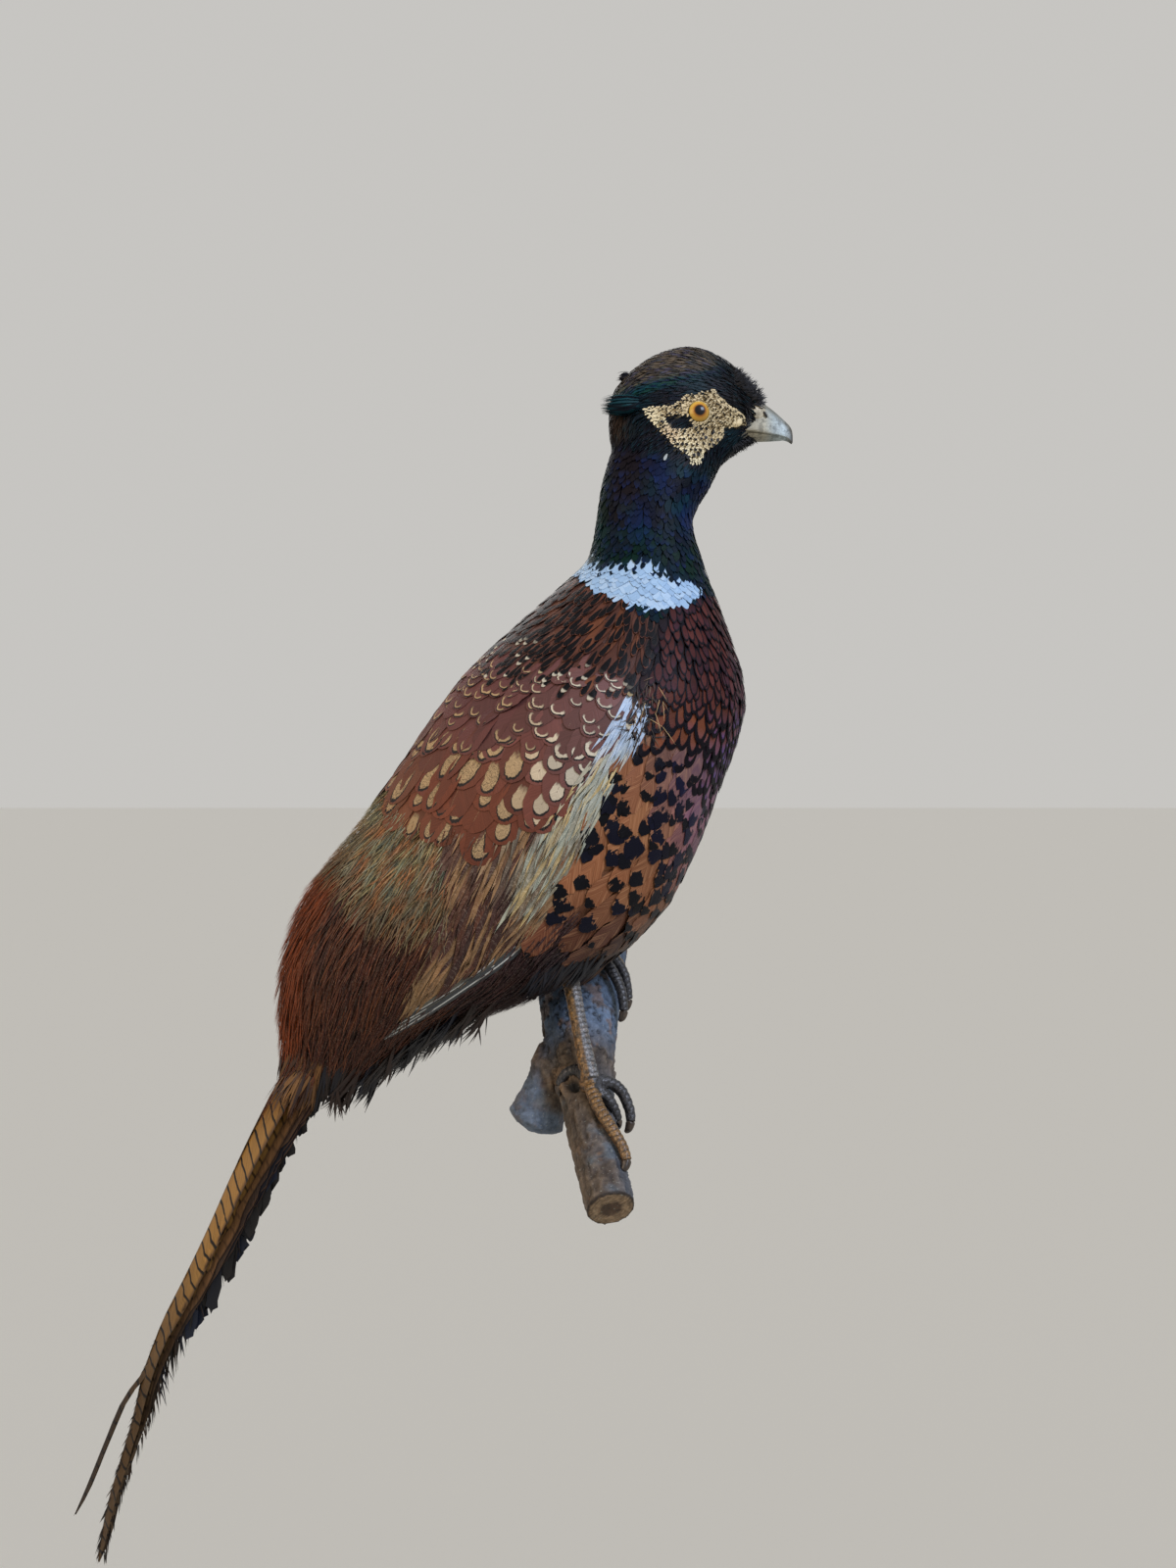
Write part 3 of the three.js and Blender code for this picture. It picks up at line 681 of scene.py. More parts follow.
def coat_colour(tract, x, z, normal, chance):
    """The ground colour of the coat at places in side view, for the skin and the feathers alike.

    Each ease() fades a tint in between two heights, widths or distances, in mm."""
    colour = np.zeros(x.shape + (3,))

    def paint(name, rows):
        where = tract == TRACT[name]
        colour[where] = np.broadcast_to(rows, colour.shape)[where]

    blue = speckle(x, z, 14, 3)
    crown = ease(-2, 4, z - np.interp(x, [10, 30, 60, 75], [293, 301, 307, 312]))
    band = ease(-9, -4, z - np.interp(x, [10, 30, 60, 75], [296, 303, 309, 314])) * ease(80, 68, x)
    head = mix(pick(["#0b0b12", "#0d101c", "#0a0d14", "#120f18"], chance), "#0f252c", blue ** 3 * 0.8)
    head = mix(head, pick(["#0b303c", "#0d3a3e", "#0f3a30", "#0e2440"], chance),
               band * (0.35 + 0.55 * ease(66, 36, x)))
    head = mix(head, pick(["#4f463a", "#3a3530", "#5d5244", "#45414c"], chance), crown * ease(84, 60, x))
    head = mix(head, "#060609", ease(70, 78, x) * ease(276, 284, z))
    head = mix(head, "#33241a", ease(11, 4, np.abs(x - 11)) * ease(12, 5, np.abs(z - 277)) * 0.7)
    paint("head", head)
    face = mix("#cdbb92", "#baa77e", chance)
    face = mix(face, "#ddd0a8", ease(5, 1.5, (x - 33) * 0.665 + (z - 286) * 0.748) * 0.8)
    paint("face", mix(face, "#a8744e", ease(9, 2, np.hypot(x - 45, z - 273)) * 0.35))
    paint("bare", mix("#2b1a16", "#a39f90", x > 0))
    neck = mix(pick(["#07090f", "#080a16", "#090c18", "#0a0a10"], chance), "#0b1d42", blue ** 2 * 0.9)
    neck = mix(neck, "#0a2e38", speckle(x, z, 11, 12) ** 3 * 0.7)
    neck = mix(neck, "#150f15", ease(24, 6, np.hypot(x - 20, (z - 250) * 0.7)) * 0.85)
    low = ease(222, 204, z - 0.3 * speckle(x, z, 9, 13) * 20)
    neck = mix(neck, pick(["#051c26", "#05201a", "#051522"], chance), low)
    neck = mix(neck, "#0c3024", ease(14, 2, x) * ease(185, 225, z) * 0.75)
    paint("neck", neck)
    paint("collar", pick(["#8eabc6", "#87a5c2", "#98b1c8", "#829fbc"], chance))
    # painted shade: a dark line down the cleft between the mantle and the breast, from the collar to the
    # shoulder
    cleft_shade = (ease(5.0, 1.5, np.abs(x - np.interp(z, [125, 150, 170, 195], [25, 35, 38.5, 41])))
             * ease(120, 132, z))
    # painted sheen: towards the rear the mantle's ground is mixed to purple-grey
    mantle = mix(pick(["#613926", "#543124", "#4b2e25"], chance), "#4f3a35", ease(10, -50, x) * 0.6)
    paint("mantle", mix(mantle, "#0b1014", cleft_shade * 0.85))
    back = pick(["#573230", "#4f2e2b", "#5f3733"], chance)
    back = mix(back, "#63301c", ease(120, 75, z) * ease(10, -50, x))
    back = mix(back, "#8a6c66", ease(-45, 5, x) * ease(60, 90, z) * 0.15)
    paint("scapulars", mix(back, "#64412b", ease(-80, -110, x) * 0.6))
    breast = pick(["#451f1c", "#371918", "#4d241e"], chance)
    breast = mix(breast, "#74412a", ease(140, 100, z) * ease(100, 55, x))
    # painted sheen: towards the front edge the breast's ground, and that of its lowest feathers, is mixed to
    # violet
    breast = mix(breast, "#4a3344", ease(70, 90, x) * 0.5)
    lowest = mix("#6e4634", "#5a4668", ease(46, 76, x))
    breast = mix(breast, lowest, ease(106, 88, z) * 0.8)
    breast = mix(breast, "#0b1014", cleft_shade * 0.85)
    paint("breast", breast)
    low = ease(84, 108, z)
    strip = mix(pick(["#a3a696", "#979c90", "#aba486", "#b09a68"], chance), "#9fb4cc", low)
    tawny = pick(["#8f9484", "#7a7462", "#a28c5c", "#5e4a38"], (chance * 3) % 1)
    paint("strip", mix(strip, tawny, ease(72, 40, z) * 0.9))
    # painted sheen: towards the front, and up under the breast, the flank's ground is mixed to violet
    flank = mix(pick(["#925c3c", "#855538", "#9c6845"], chance), "#775683", ease(30, 66, x) * 0.75)
    flank = mix(flank, "#5c4848", ease(48, 82, z) * ease(10, 42, x) * 0.6)
    flank = mix(flank, "#5e3428", ease(20, -15, z + x * 0.35) * 0.75)
    paint("flank", flank)
    paint("thigh", pick(["#352020", "#2a191b", "#3d2622"], chance))
    buff = ease(0.54, 0.68, streak(x, z, 4.6, 21) + 0.2 * (chance - 0.5))
    grey = ease(-55, -30, x + 0.35 * (z - 20)) * ease(0.3, 0.6, streak(x, z, 9, 22))
    wing = mix(pick(["#42231b", "#381e19", "#4e2b1c"], chance), "#93704a", buff * 0.75)
    wing = mix(wing, "#7d7a6a", grey * 0.6)
    wing = mix(wing, "#93734a", ease(-80, -92, x) * ease(-10, -30, z) * 0.6)
    paint("wing", wing)
    rust = speckle(x, z, 9, 8)
    rump = mix(pick(["#787d66", "#867f5a", "#666c5c", "#665a3e"], chance), "#96572c", rust ** 2 * 0.75)
    paint("rump", mix(rump, "#4e3420", np.maximum(ease(-112, -140, x) * 0.55, ease(34, 0, z) * 0.6)))
    edge = ease(16, 2, x - np.interp(z, [-120, -60, -20, 20], [-195, -170, -168, -150]))
    rear = mix(pick(["#4a271a", "#3c2016", "#56301c", "#351b16"], chance), "#70300a", edge * 0.85)
    paint("rear", rear)
    body = (tract == TRACT["flank"]) | (tract == TRACT["thigh"])
    slate = body * ease(-0.25, -0.75, normal[..., 2]) * ease(-45, -15, x) * 0.92
    return mix(colour, "#17171f", slate)


# ---- feather materials
def vane_parts(node):
    """The feather's own coordinates: X across from 0 to 1, Y along it."""
    return node("SeparateXYZ", [node("UVMap", uv_map="vane")])


def barbs(node, pitch_mm, slant):
    """Streaks that run outwards from the shaft like barbs. Real ones are 0.3 mm apart, too fine to show."""
    lie = node("SeparateXYZ", [node("UVMap", uv_map="lie")])
    out = node("Math", [lie.outputs["X"]], operation="ABSOLUTE")
    ahead = node("Math", [out, -slant, lie.outputs["Y"]], operation="MULTIPLY_ADD")
    fine = node("Math", [ahead, 10 / pitch_mm], operation="MULTIPLY")
    lot = node("Attribute", attribute_name="lot").outputs["Fac"]
    far = node("Math", [lot, 60], operation="MULTIPLY")
    place = node("CombineXYZ", [fine, out, far])
    return node("TexNoise", {"Vector": place, "Scale": 1.0, "Detail": 2.0, "Roughness": 0.6})


def feather_finish(node, colour, streaks, roughness=0.5, sheen="#8a7f86", sheen_weight=0.25, depth=0.5,
                   specular=0.4):
    """Shades a feather: streaked colour, a ridged face, and the soft sheen of overlapping barbules."""
    shade = node("ValToRGB", [streaks], stops=[(0.25, 1 - depth), (0.75, 1.0)])
    streaked = node("MixRGB", [1.0, colour, shade], blend_type="MULTIPLY")
    bump = node("Bump", {"Height": streaks, "Strength": 0.55, "Distance": 0.3 * MM})
    finish_material(node, {"Base Color": streaked, "Roughness": roughness, "Specular IOR Level": specular,
                           "Sheen Weight": sheen_weight, "Sheen Roughness": 0.35, "Sheen Tint": rgba(sheen),
                           "Normal": bump})


def ground(node):
    """The feather's own ground colour."""
    return node("Attribute", attribute_name="base")


def spot_reach(node, streaks, ragged):
    """How far a place is from the mark's middle, in the mark's own half sizes, made ragged by the barbs."""
    spot = node("UVMap", uv_map="spot")
    reach = node("VectorMath", [spot], operation="LENGTH").outputs["Value"]
    centred = node("Math", [streaks, 0.5], operation="SUBTRACT")
    return node("Math", [centred, ragged, reach], operation="MULTIPLY_ADD")


def small_feather_material(name, roughness, glint):
    """Short contour feathers of the head and neck: near-black, some tips painted with a metallic blue-green
    glint as their iridescent sheen.
    """
    material, node = new_material(name)
    parts = vane_parts(node)
    lot = node("Attribute", attribute_name="lot").outputs["Fac"]
    # painted highlight: towards the tip of some feathers the colour turns to the glint's blue-green
    tip = node("ValToRGB", [parts.outputs["Y"]], stops=[(0.5, 0.0), (0.95, 1.0)])
    bright = node("ValToRGB", [lot], stops=[(0.4, 0.0), (1.0, 0.45)])
    painted_glint = node("Math", [tip, bright], operation="MULTIPLY")
    colour = node("MixRGB", [painted_glint, ground(node), rgba(glint)])
    feather_finish(node, colour, barbs(node, 0.8, 1.2), roughness, "#202c48", 0.0, 0.4, 0.07)
    return material


def mantle_material():
    """Lance-shaped mantle feathers: dark chestnut with a black wedge, and cream tips low on the back."""
    material, node = new_material("mantle feathers")
    parts = vane_parts(node)
    streaks = barbs(node, 0.9, 1.3)
    spot = node("SeparateXYZ", [node("UVMap", uv_map="spot")])
    narrow = node("Math", [spot.outputs["Y"], -0.65, 1.5], operation="MULTIPLY_ADD")
    across = node("Math", [spot.outputs["X"], narrow], operation="MULTIPLY")
    wedge = node("CombineXYZ", [across, spot.outputs["Y"]])
    reach = node("VectorMath", [wedge], operation="LENGTH").outputs["Value"]
    reach = node("Math", [streaks, 0.3, reach], operation="MULTIPLY_ADD")
    reach = node("Math", [reach, 0.5], operation="MULTIPLY")
    black = node("ValToRGB", [reach], stops=[(0.56, 1.0), (0.6, 0.0)])
    tip = node("ValToRGB", [parts.outputs["Y"]], stops=[(0.87, 0.0), (0.91, 1.0), (0.96, 1.0), (0.99, 0.0)])
    fleck = node("Attribute", attribute_name="fleck").outputs["Fac"]
    pale = node("Math", [tip, fleck], operation="MULTIPLY")
    mark = node("Attribute", attribute_name="mark")
    colour = node("MixRGB", [black, ground(node), rgba("#07070b")])
    colour = node("MixRGB", [pale, colour, mark])
    feather_finish(node, colour, streaks, 0.45, "#8d7a92", 0.0, 0.4, 0.12)
    return material


def scapular_material():
    """Scapulars: satin maroon, each with a cream shield or V near its tip that a black line edges below."""
    material, node = new_material("scapular feathers")
    streaks = barbs(node, 0.9, 1.2)
    lie = node("UVMap", uv_map="lie")
    wander = node("TexNoise", {"Vector": lie, "Scale": 4.0, "Detail": 2.0})
    spot = node("SeparateXYZ", [node("UVMap", uv_map="spot")])

    def shield(aside, ahead):
        across = node("Math", [spot.outputs["X"], aside], operation="SUBTRACT")
        down = node("Math", [spot.outputs["Y"], ahead], operation="ADD")
        above = node("MapRange", [down, 0.0, -1.2, 1.0, 1.45])
        across = node("Math", [across, above], operation="MULTIPLY")
        down = node("Math", [down, 0.0], operation="MAXIMUM")
        reach = node("VectorMath", [node("CombineXYZ", [across, down])], operation="LENGTH")
        reach = reach.outputs["Value"]
        reach = node("Math", [streaks, 0.25, reach], operation="MULTIPLY_ADD")
        return node("Math", [wander, 0.25, reach], operation="MULTIPLY_ADD")

    pale_reach = shield(0.0, 0.0)
    inner = node("ValToRGB", [node("Math", [pale_reach, 0.5], operation="MULTIPLY")],
                 stops=[(0.56, 1.0), (0.59, 0.0)])
    hollow = node("Attribute", attribute_name="hollow").outputs["Fac"]
    hole = node("Math", [pale_reach, hollow], operation="SUBTRACT")
    solid = node("ValToRGB", [hole], stops=[(0.2, 0.0), (0.3, 1.0)])
    black_reach = node("Math", [shield(0.08, -0.1), 0.5], operation="MULTIPLY")
    outer = node("ValToRGB", [black_reach], stops=[(0.62, 1.0), (0.65, 0.0)])
    top = node("Math", [wander, 0.9, spot.outputs["Y"]], operation="MULTIPLY_ADD")
    top = node("Math", [hollow, -1.5, top], operation="MULTIPLY_ADD")
    below = node("MapRange", [top, -0.75, -0.25])
    inner = node("Math", [inner, below], operation="MULTIPLY")
    inner = node("Math", [inner, solid], operation="MULTIPLY")
    outer = node("Math", [outer, below], operation="MULTIPLY")
    outer = node("Math", [outer, solid], operation="MULTIPLY")
    scribble = node("TexNoise", {"Vector": lie, "Scale": 6.5, "Detail": 2.0, "Distortion": 1.4})
    scribble = node("ValToRGB", [scribble], stops=[(0.42, 0.0), (0.48, 1.0), (0.56, 0.0)])
    fleck = node("Attribute", attribute_name="fleck").outputs["Fac"]
    scribble = node("Math", [scribble, fleck], operation="MULTIPLY")
    mark = node("Attribute", attribute_name="mark")
    cream = node("MixRGB", [scribble, mark, rgba("#1c140f")])
    colour = node("MixRGB", [outer, ground(node), rgba("#130d0e")])
    colour = node("MixRGB", [inner, colour, cream])
    feather_finish(node, colour, streaks, 0.6, "#7b5560", 0.04, 0.3, 0.25)
    return material


def breast_material():
    """Breast scales: copper with a painted lilac gloss towards the tip, and a thin black edge that thickens
    to a notch at the tip.
    """
    material, node = new_material("breast feathers")
    parts = vane_parts(node)
    streaks = barbs(node, 0.9, 1.2)
    reach = spot_reach(node, streaks, 0.3)
    rim = node("ValToRGB", [reach], stops=[(0.78, 0.0), (0.88, 1.0)])
    # painted sheen: the tip half turns towards the lilac mark colour, by each feather's share of sheen
    gloss = node("ValToRGB", [parts.outputs["Y"]], stops=[(0.5, 0.0), (0.85, 1.0)])
    fleck = node("Attribute", attribute_name="fleck").outputs["Fac"]
    gloss = node("Math", [gloss, fleck], operation="MULTIPLY")
    mark = node("Attribute", attribute_name="mark")
    colour = node("MixRGB", [gloss, ground(node), mark])
    colour = node("MixRGB", [rim, colour, rgba("#0e0a12")])
    feather_finish(node, colour, streaks, 0.5, "#8a76a0", 0.0, 0.4, 0.08)
    return material


def flank_material():
    """Flank feathers: hair-like copper and buff webs that end in a ragged, lobed blue-black blot."""
    material, node = new_material("flank feathers")
    streaks = barbs(node, 0.8, 2.2)
    lobes = node("TexNoise", {"Vector": node("UVMap", uv_map="lie"), "Scale": 3.2, "Detail": 1.0})
    reach = node("Math", [lobes, 1.3, spot_reach(node, streaks, 0.7)], operation="MULTIPLY_ADD")
    reach = node("Math", [reach, 0.5], operation="MULTIPLY")
    black = node("ValToRGB", [reach], stops=[(0.78, 1.0), (0.83, 0.0)])
    mark = node("Attribute", attribute_name="mark")
    pale = node("ValToRGB", [streaks], stops=[(0.5, 0.0), (0.7, 0.5)])
    colour = node("MixRGB", [pale, ground(node), rgba("#b08660")])
    colour = node("MixRGB", [black, colour, mark])
    feather_finish(node, colour, streaks, 0.45, "#b08a90", 0.0, 0.5, 0.12)
    return material


def plain_material(name, roughness=0.5, sheen="#8a7468", weight=0.2, depth=0.5, pale=0.0, specular=0.3):
    """A feather or strand of one ground colour, paler along some of its barbs."""
    material, node = new_material(name)
    streaks = barbs(node, 0.9, 1.8)
    share = node("ValToRGB", [streaks], stops=[(0.5, 0.0), (0.7, pale)])
    colour = node("MixRGB", [share, ground(node), rgba("#d8cdb4")])
    feather_finish(node, colour, streaks, roughness, sheen, weight, depth, specular)
    return material


def tail_material():
    """Tail feathers: golden olive-brown, barred in black about every 9 mm, with a brown fringe."""
    material, node = new_material("tail feathers")
    parts = vane_parts(node)
    streaks = barbs(node, 1.2, 1.7)
    lie = node("SeparateXYZ", [node("UVMap", uv_map="lie")])
    out = node("Math", [lie.outputs["X"]], operation="ABSOLUTE")
    ahead = node("Math", [out, -0.35, lie.outputs["Y"]], operation="MULTIPLY_ADD")
    uneven = node("TexNoise", {"Vector": node("UVMap", uv_map="lie"), "Scale": 1.4, "Detail": 1.0})
    ahead = node("Math", [uneven, 0.3, ahead], operation="MULTIPLY_ADD")
    step = node("Math", [ahead, 0.86], operation="DIVIDE")
    step = node("Math", [step], operation="FRACT")
    bar = node("ValToRGB", [step], stops=[(0.0, 1.0), (0.14, 1.0), (0.22, 0.0), (0.97, 0.0)])
    bar = node("Math", [bar, node("Attribute", attribute_name="fleck").outputs["Fac"]], operation="MULTIPLY")
    off = node("Math", [parts.outputs["X"], 0.5], operation="SUBTRACT")
    off = node("Math", [off], operation="ABSOLUTE")
    fringe = node("ValToRGB", [off], stops=[(0.4, 0.0), (0.49, 1.0)])
    mark = node("Attribute", attribute_name="mark")
    colour = node("MixRGB", [fringe, ground(node), mark])
    colour = node("MixRGB", [bar, colour, rgba("#17120f")])
    shaft = node("ValToRGB", [off], stops=[(0.01, 0.45), (0.025, 0.0)])
    colour = node("MixRGB", [shaft, colour, rgba("#3a2a18")])
    feather_finish(node, colour, streaks, 0.5, "#8a7a58", 0.0, 0.45, 0.2)
    return material


# ---- laying the coat
def in_tract(*names):
    """A test of whether places belong to some tracts."""
    numbers = [TRACT[name] for name in names]
    return lambda x, z, s, normal: np.isin(tract_at(x, z, s), numbers)


def off_the_eye(x, z):
    """Whether places in side view are clear of the eye."""
    seen_x, seen_z, clear_mm = 61.0, 285.5, 6.7
    return np.hypot(x - seen_x, z - seen_z) > clear_mm


def lay(form, name, wanted, material, spacing, length, half_width, steps, aspect=1.0, ring="plain",
        outline=rounded, depth=2.0, lift=0.3, free=0.0, yaw=0.08, cup=0.1, thick=0.1, fray=0.0, jag=0.0,
        marks=None, slot="body_plumage", seed=1, shade=0.12, reach=None):
    """Lays one tract of feathers as a piece; sizes are in mm, or a function of the place in side view.

    marks(x, z, chance, half_width) gives a mark's colour, its half width, half height and distance from
    the tip in mm, and the numbers that its material reads."""
    random = np.random.default_rng(seed + 100)
    at_least = length(np.zeros(1), np.full(1, 80.0))[0] if callable(length) else length
    reach = at_least * 0.75 if reach is None else reach
    s, t = form.roots(wanted, spacing, aspect, reach, seed)
    count = len(s)
    grow = 1 + 0.12 * random.standard_normal(count).clip(-2, 2)
    place, normal, _, _ = form.at(s, t)
    x, z = side_view(place)
    dx, dz = lie_direction(x, z)
    x, z = x + dx * reach, z + dz * reach
    long = (length(x, z) if callable(length) else length) * grow
    wide = (half_width(x, z) if callable(half_width) else half_width) * grow
    raised = lift * MM * (0.4 + 1.2 * random.random(count))
    lines = along_form(form, s, t, long * MM, steps, depth * MM, raised, free,
                       yaw * random.standard_normal(count))
    chance = random.random(count)
    base = coat_colour(tract_at(x, z, s), x, z, normal, chance)
    base = base * (1 + shade * random.standard_normal(count).clip(-2, 2))[:, None]
    colours, numbers, spot = {"base": base.clip(0, 1)}, {}, None
    if marks:
        colours["mark"], spot_half, spot_high, from_tip, numbers = marks(x, z, chance, wide)
        spot = (spot_half * MM, spot_high * MM, from_tip * MM)
    piece = feather_mesh(name, lines, steps, wide * MM, long * MM, ring, outline, cup, thick * MM, fray, jag,
                         colours, numbers, spot, root_patches(s, t), seed)
    settle(piece, material, slot)


SHORT = [0, 0.45, 1]
MEDIUM = [0, 0.35, 0.7, 1]
FULL = [0, 0.25, 0.45, 0.6, 0.72, 0.82, 0.9, 0.96, 1]
HAIR = [0, 0.4, 0.75, 1]


def mantle_marks(x, z, chance, wide):
    """A black wedge in each feather; cream tips appear on the lower and left ones."""
    near_back = ease(10, -6, z - np.interp(x, [-80, -40, -5, 27], [178, 166, 146, 134])) * (chance > 0.66)
    high = 4.6 + 1.0 * chance
    return (pick(["#b7a67c", "#a3946f", "#b5ae9a"], chance), wide * 0.84, high, high + 0.6,
            {"fleck": near_back})


def down_back(x, z):
    """From 0 at the top of the scapulars to 1 at their lower end."""
    return ease(128, 68, z + 0.15 * x)


def scapular_marks(x, z, chance, wide):
    """Cream V marks that grow to full shields down the back, whitish by the shoulder, scribbled behind."""
    lower = down_back(x, z)
    rear = ease(-25, -60, x)
    other = (chance * 7) % 1
    colour = mix("#a98d66", "#c0b8a4", ease(-50, 0, x)) * (0.75 + 0.35 * chance)[:, None]
    half = wide * (0.68 - 0.24 * lower) * (0.75 + 0.4 * other)
    high = half * (0.66 + 0.59 * lower + 1.0 * rear * lower * chance)
    half = np.where(other < 0.1, 0.05, half)
    hollow = 0.64 * (1 - ease(0.4, 0.8, lower + 0.3 * (other - 0.5)))
    numbers = {"fleck": rear * lower * (chance > 0.3), "hollow": hollow}
    return colour, half, high, high + 0.7 + 1.5 * lower, numbers


def breast_marks(x, z, chance, wide):
    """The rim thickens and the painted lilac sheen brightens down the breast."""
    lower = ease(135, 95, z)
    notch = ease(108, 90, z)
    # painted sheen: lilac is each feather's share of it, and the mark colours are its lilac and violet tints
    lilac = (0.05 + ease(132, 90, z) * ease(46, 76, x) * 0.95) * chance ** 0.6
    half = wide * (0.84 - 0.06 * lower - 0.1 * notch)
    high = wide * (2.5 - 0.4 * lower)
    ahead = high + 0.4 + 1.2 * lower + 1.2 * notch
    return pick(["#6d5f94", "#5550a0", "#7a5a6e"], chance), half, high, ahead, {"fleck": lilac}


def flank_marks(x, z, chance, wide):
    """Blots are largest in the middle of the flank, small towards the breast and missing at the rear."""
    fade = ease(-22, 2, z + x * 0.2) * (1 - 0.08 * ease(45, 75, x))
    half = wide * (0.74 + 0.08 * ease(20, 60, x)) * fade * (0.75 + 0.35 * chance) + 0.05
    high = half * (0.7 + 0.35 * ((chance * 5) % 1)) * (1 - 0.12 * ease(40, 70, x))
    # painted sheen: blots towards the front are mixed to violet-blue
    violet = 0.4 * ease(25, 70, x) * chance
    return mix(pick(["#08080e", "#090a14", "#0b0c1c"], chance), "#1a1a4c", violet), half, high, high * 0.7, {}


def breast_width(x, z):
    """Breast feathers are narrow at the throat and broad by the shoulder."""
    return 2.1 + 1.7 * ease(140, 108, z) * ease(95, 60, x)


def flank_width(x, z):
    """Flank feathers widen backwards from the breast."""
    return 5.4 + 2.6 * ease(72, 16, x + 0.45 * (z - 60)) * ease(96, 58, z)


def build_coat(form):
    """The whole coat, tract by tract."""
    small = small_feather_material("head feathers", 0.42, "#1f4a54")
    dark = small_feather_material("neck feathers", 0.5, "#12295c")
    white = plain_material("collar feathers", 0.6, "#dfe8f4", 0.05, depth=0.12)
    hair = plain_material("hair-like plumage", 0.5, "#8a7468", 0.0, depth=0.3, pale=0.08, specular=0.14)
    streaky = plain_material("streaky shoulder feathers", 0.55, "#c8d0d8", 0.05, depth=0.25, pale=0.3)
    covert = plain_material("wing feathers", 0.5, "#8a7468", 0.03, depth=0.35, pale=0.12)

    def put(tract, *settings, wanted=None, **more):
        lay(form, "coat_" + tract, wanted or in_tract(tract), *settings, **more)

    put("head", small, 1.15, 7.0, 0.62, SHORT, aspect=1.6, outline=pointed, depth=0.9, lift=0.08, yaw=0.12,
        cup=0.02, fray=0.2, slot="head_plumage", seed=11)
    put("face", face_material(), 0.9, 1.6, 0.55, SHORT, depth=0.3, lift=0.1, yaw=0.3, cup=0.16,
        thick=0.2, slot="head_plumage", seed=24, shade=0.05,
        wanted=lambda x, z, s, normal: in_tract("face")(x, z, s, normal) & off_the_eye(x, z))
    put("neck", dark, 2.0, 8.5, 1.65, [0, 0.4, 0.68, 0.86, 1], aspect=1.4, depth=0.9,
        lift=0.1, yaw=0.1, cup=0.03, fray=0.16, slot="neck_plumage", seed=12)
    put("collar", white, 1.9, 9.0, 2.6, MEDIUM, aspect=1.5, depth=0.7, lift=0.06, cup=0.02,
        yaw=0.05, fray=0.15, slot="white_plumage", seed=13, shade=0.02)
    put("mantle", mantle_material(), 2.55, 20, 2.3, FULL, aspect=2.4, ring="broad",
        outline=oval, depth=1.5, lift=0.3, cup=0.05, fray=0.03, marks=mantle_marks, seed=14)
    put("scapulars", scapular_material(), lambda x, z: 5.5 + 4.6 * down_back(x, z),
        lambda x, z: 24 + 14 * down_back(x, z), lambda x, z: 6.2 + 3.6 * down_back(x, z), FULL,
        aspect=1.25, ring="broad", depth=1.5, lift=0.15, cup=0.03, thick=0.08, fray=0.03, jag=0.12,
        marks=scapular_marks, seed=15)
    put("breast", breast_material(), lambda x, z: 1.3 * breast_width(x, z), 15, breast_width, FULL,
        aspect=1.6, ring="broad", outline=oval, depth=1.4, lift=0.25, cup=0.06, fray=0.03, marks=breast_marks,
        seed=16)
    put("flank", flank_material(), lambda x, z: 1.8 * flank_width(x, z) - 4.4, 32, flank_width,
        FULL, aspect=1.2, ring="broad", depth=1.5, lift=0.2, cup=0.04, thick=0.08, fray=0.1, jag=0.3,
        marks=flank_marks, seed=17, reach=31)
    put("wing", covert, 2.0, 34, 1.5, MEDIUM, aspect=2.5, outline=pointed, depth=1.6, lift=0.3,
        yaw=0.06, fray=0.1, slot="wing_plumage", seed=19, shade=0.15)
    put("strip", streaky, 1.6, 26, 1.2, MEDIUM, aspect=2.4, outline=pointed, depth=0.9,
        lift=0.7, yaw=0.06, cup=0.05, fray=0.2, slot="wing_plumage", seed=18, shade=0.07)
    put("rump", hair, 1.35, 12, 0.5, HAIR, aspect=2.0, ring="hair", outline=strand, depth=1.6,
        lift=0.8, yaw=0.22, shade=0.3, seed=20)
    put("rear", hair, 1.55, 26, 0.6, HAIR, aspect=2.2, ring="hair", outline=strand, depth=2.0,
        lift=1.2, free=0.3, yaw=0.14, shade=0.3, slot="dark_plumage", seed=21)
    put("thigh", hair, 1.7, 20, 0.65, HAIR, aspect=2.0, ring="hair", outline=strand, depth=2.0,
        lift=1.0, free=0.3, yaw=0.14, shade=0.3, slot="dark_plumage", seed=22)


def face_material():
    """Bare face: pale wattled skin in small dry pimples, each painted a little darker at its foot as the
    shade between them.
    """
    material, node = new_material("bare face pimples")
    parts = vane_parts(node)
    # painted shade: each pimple is darker towards its foot
    foot = node("ValToRGB", [parts.outputs["Y"]], stops=[(0.3, 0.78), (0.8, 1.0)])
    colour = node("MixRGB", [1.0, ground(node), foot], blend_type="MULTIPLY")
    finish_material(node, {"Base Color": colour, "Roughness": 0.6, "Specular IOR Level": 0.3})
    return material


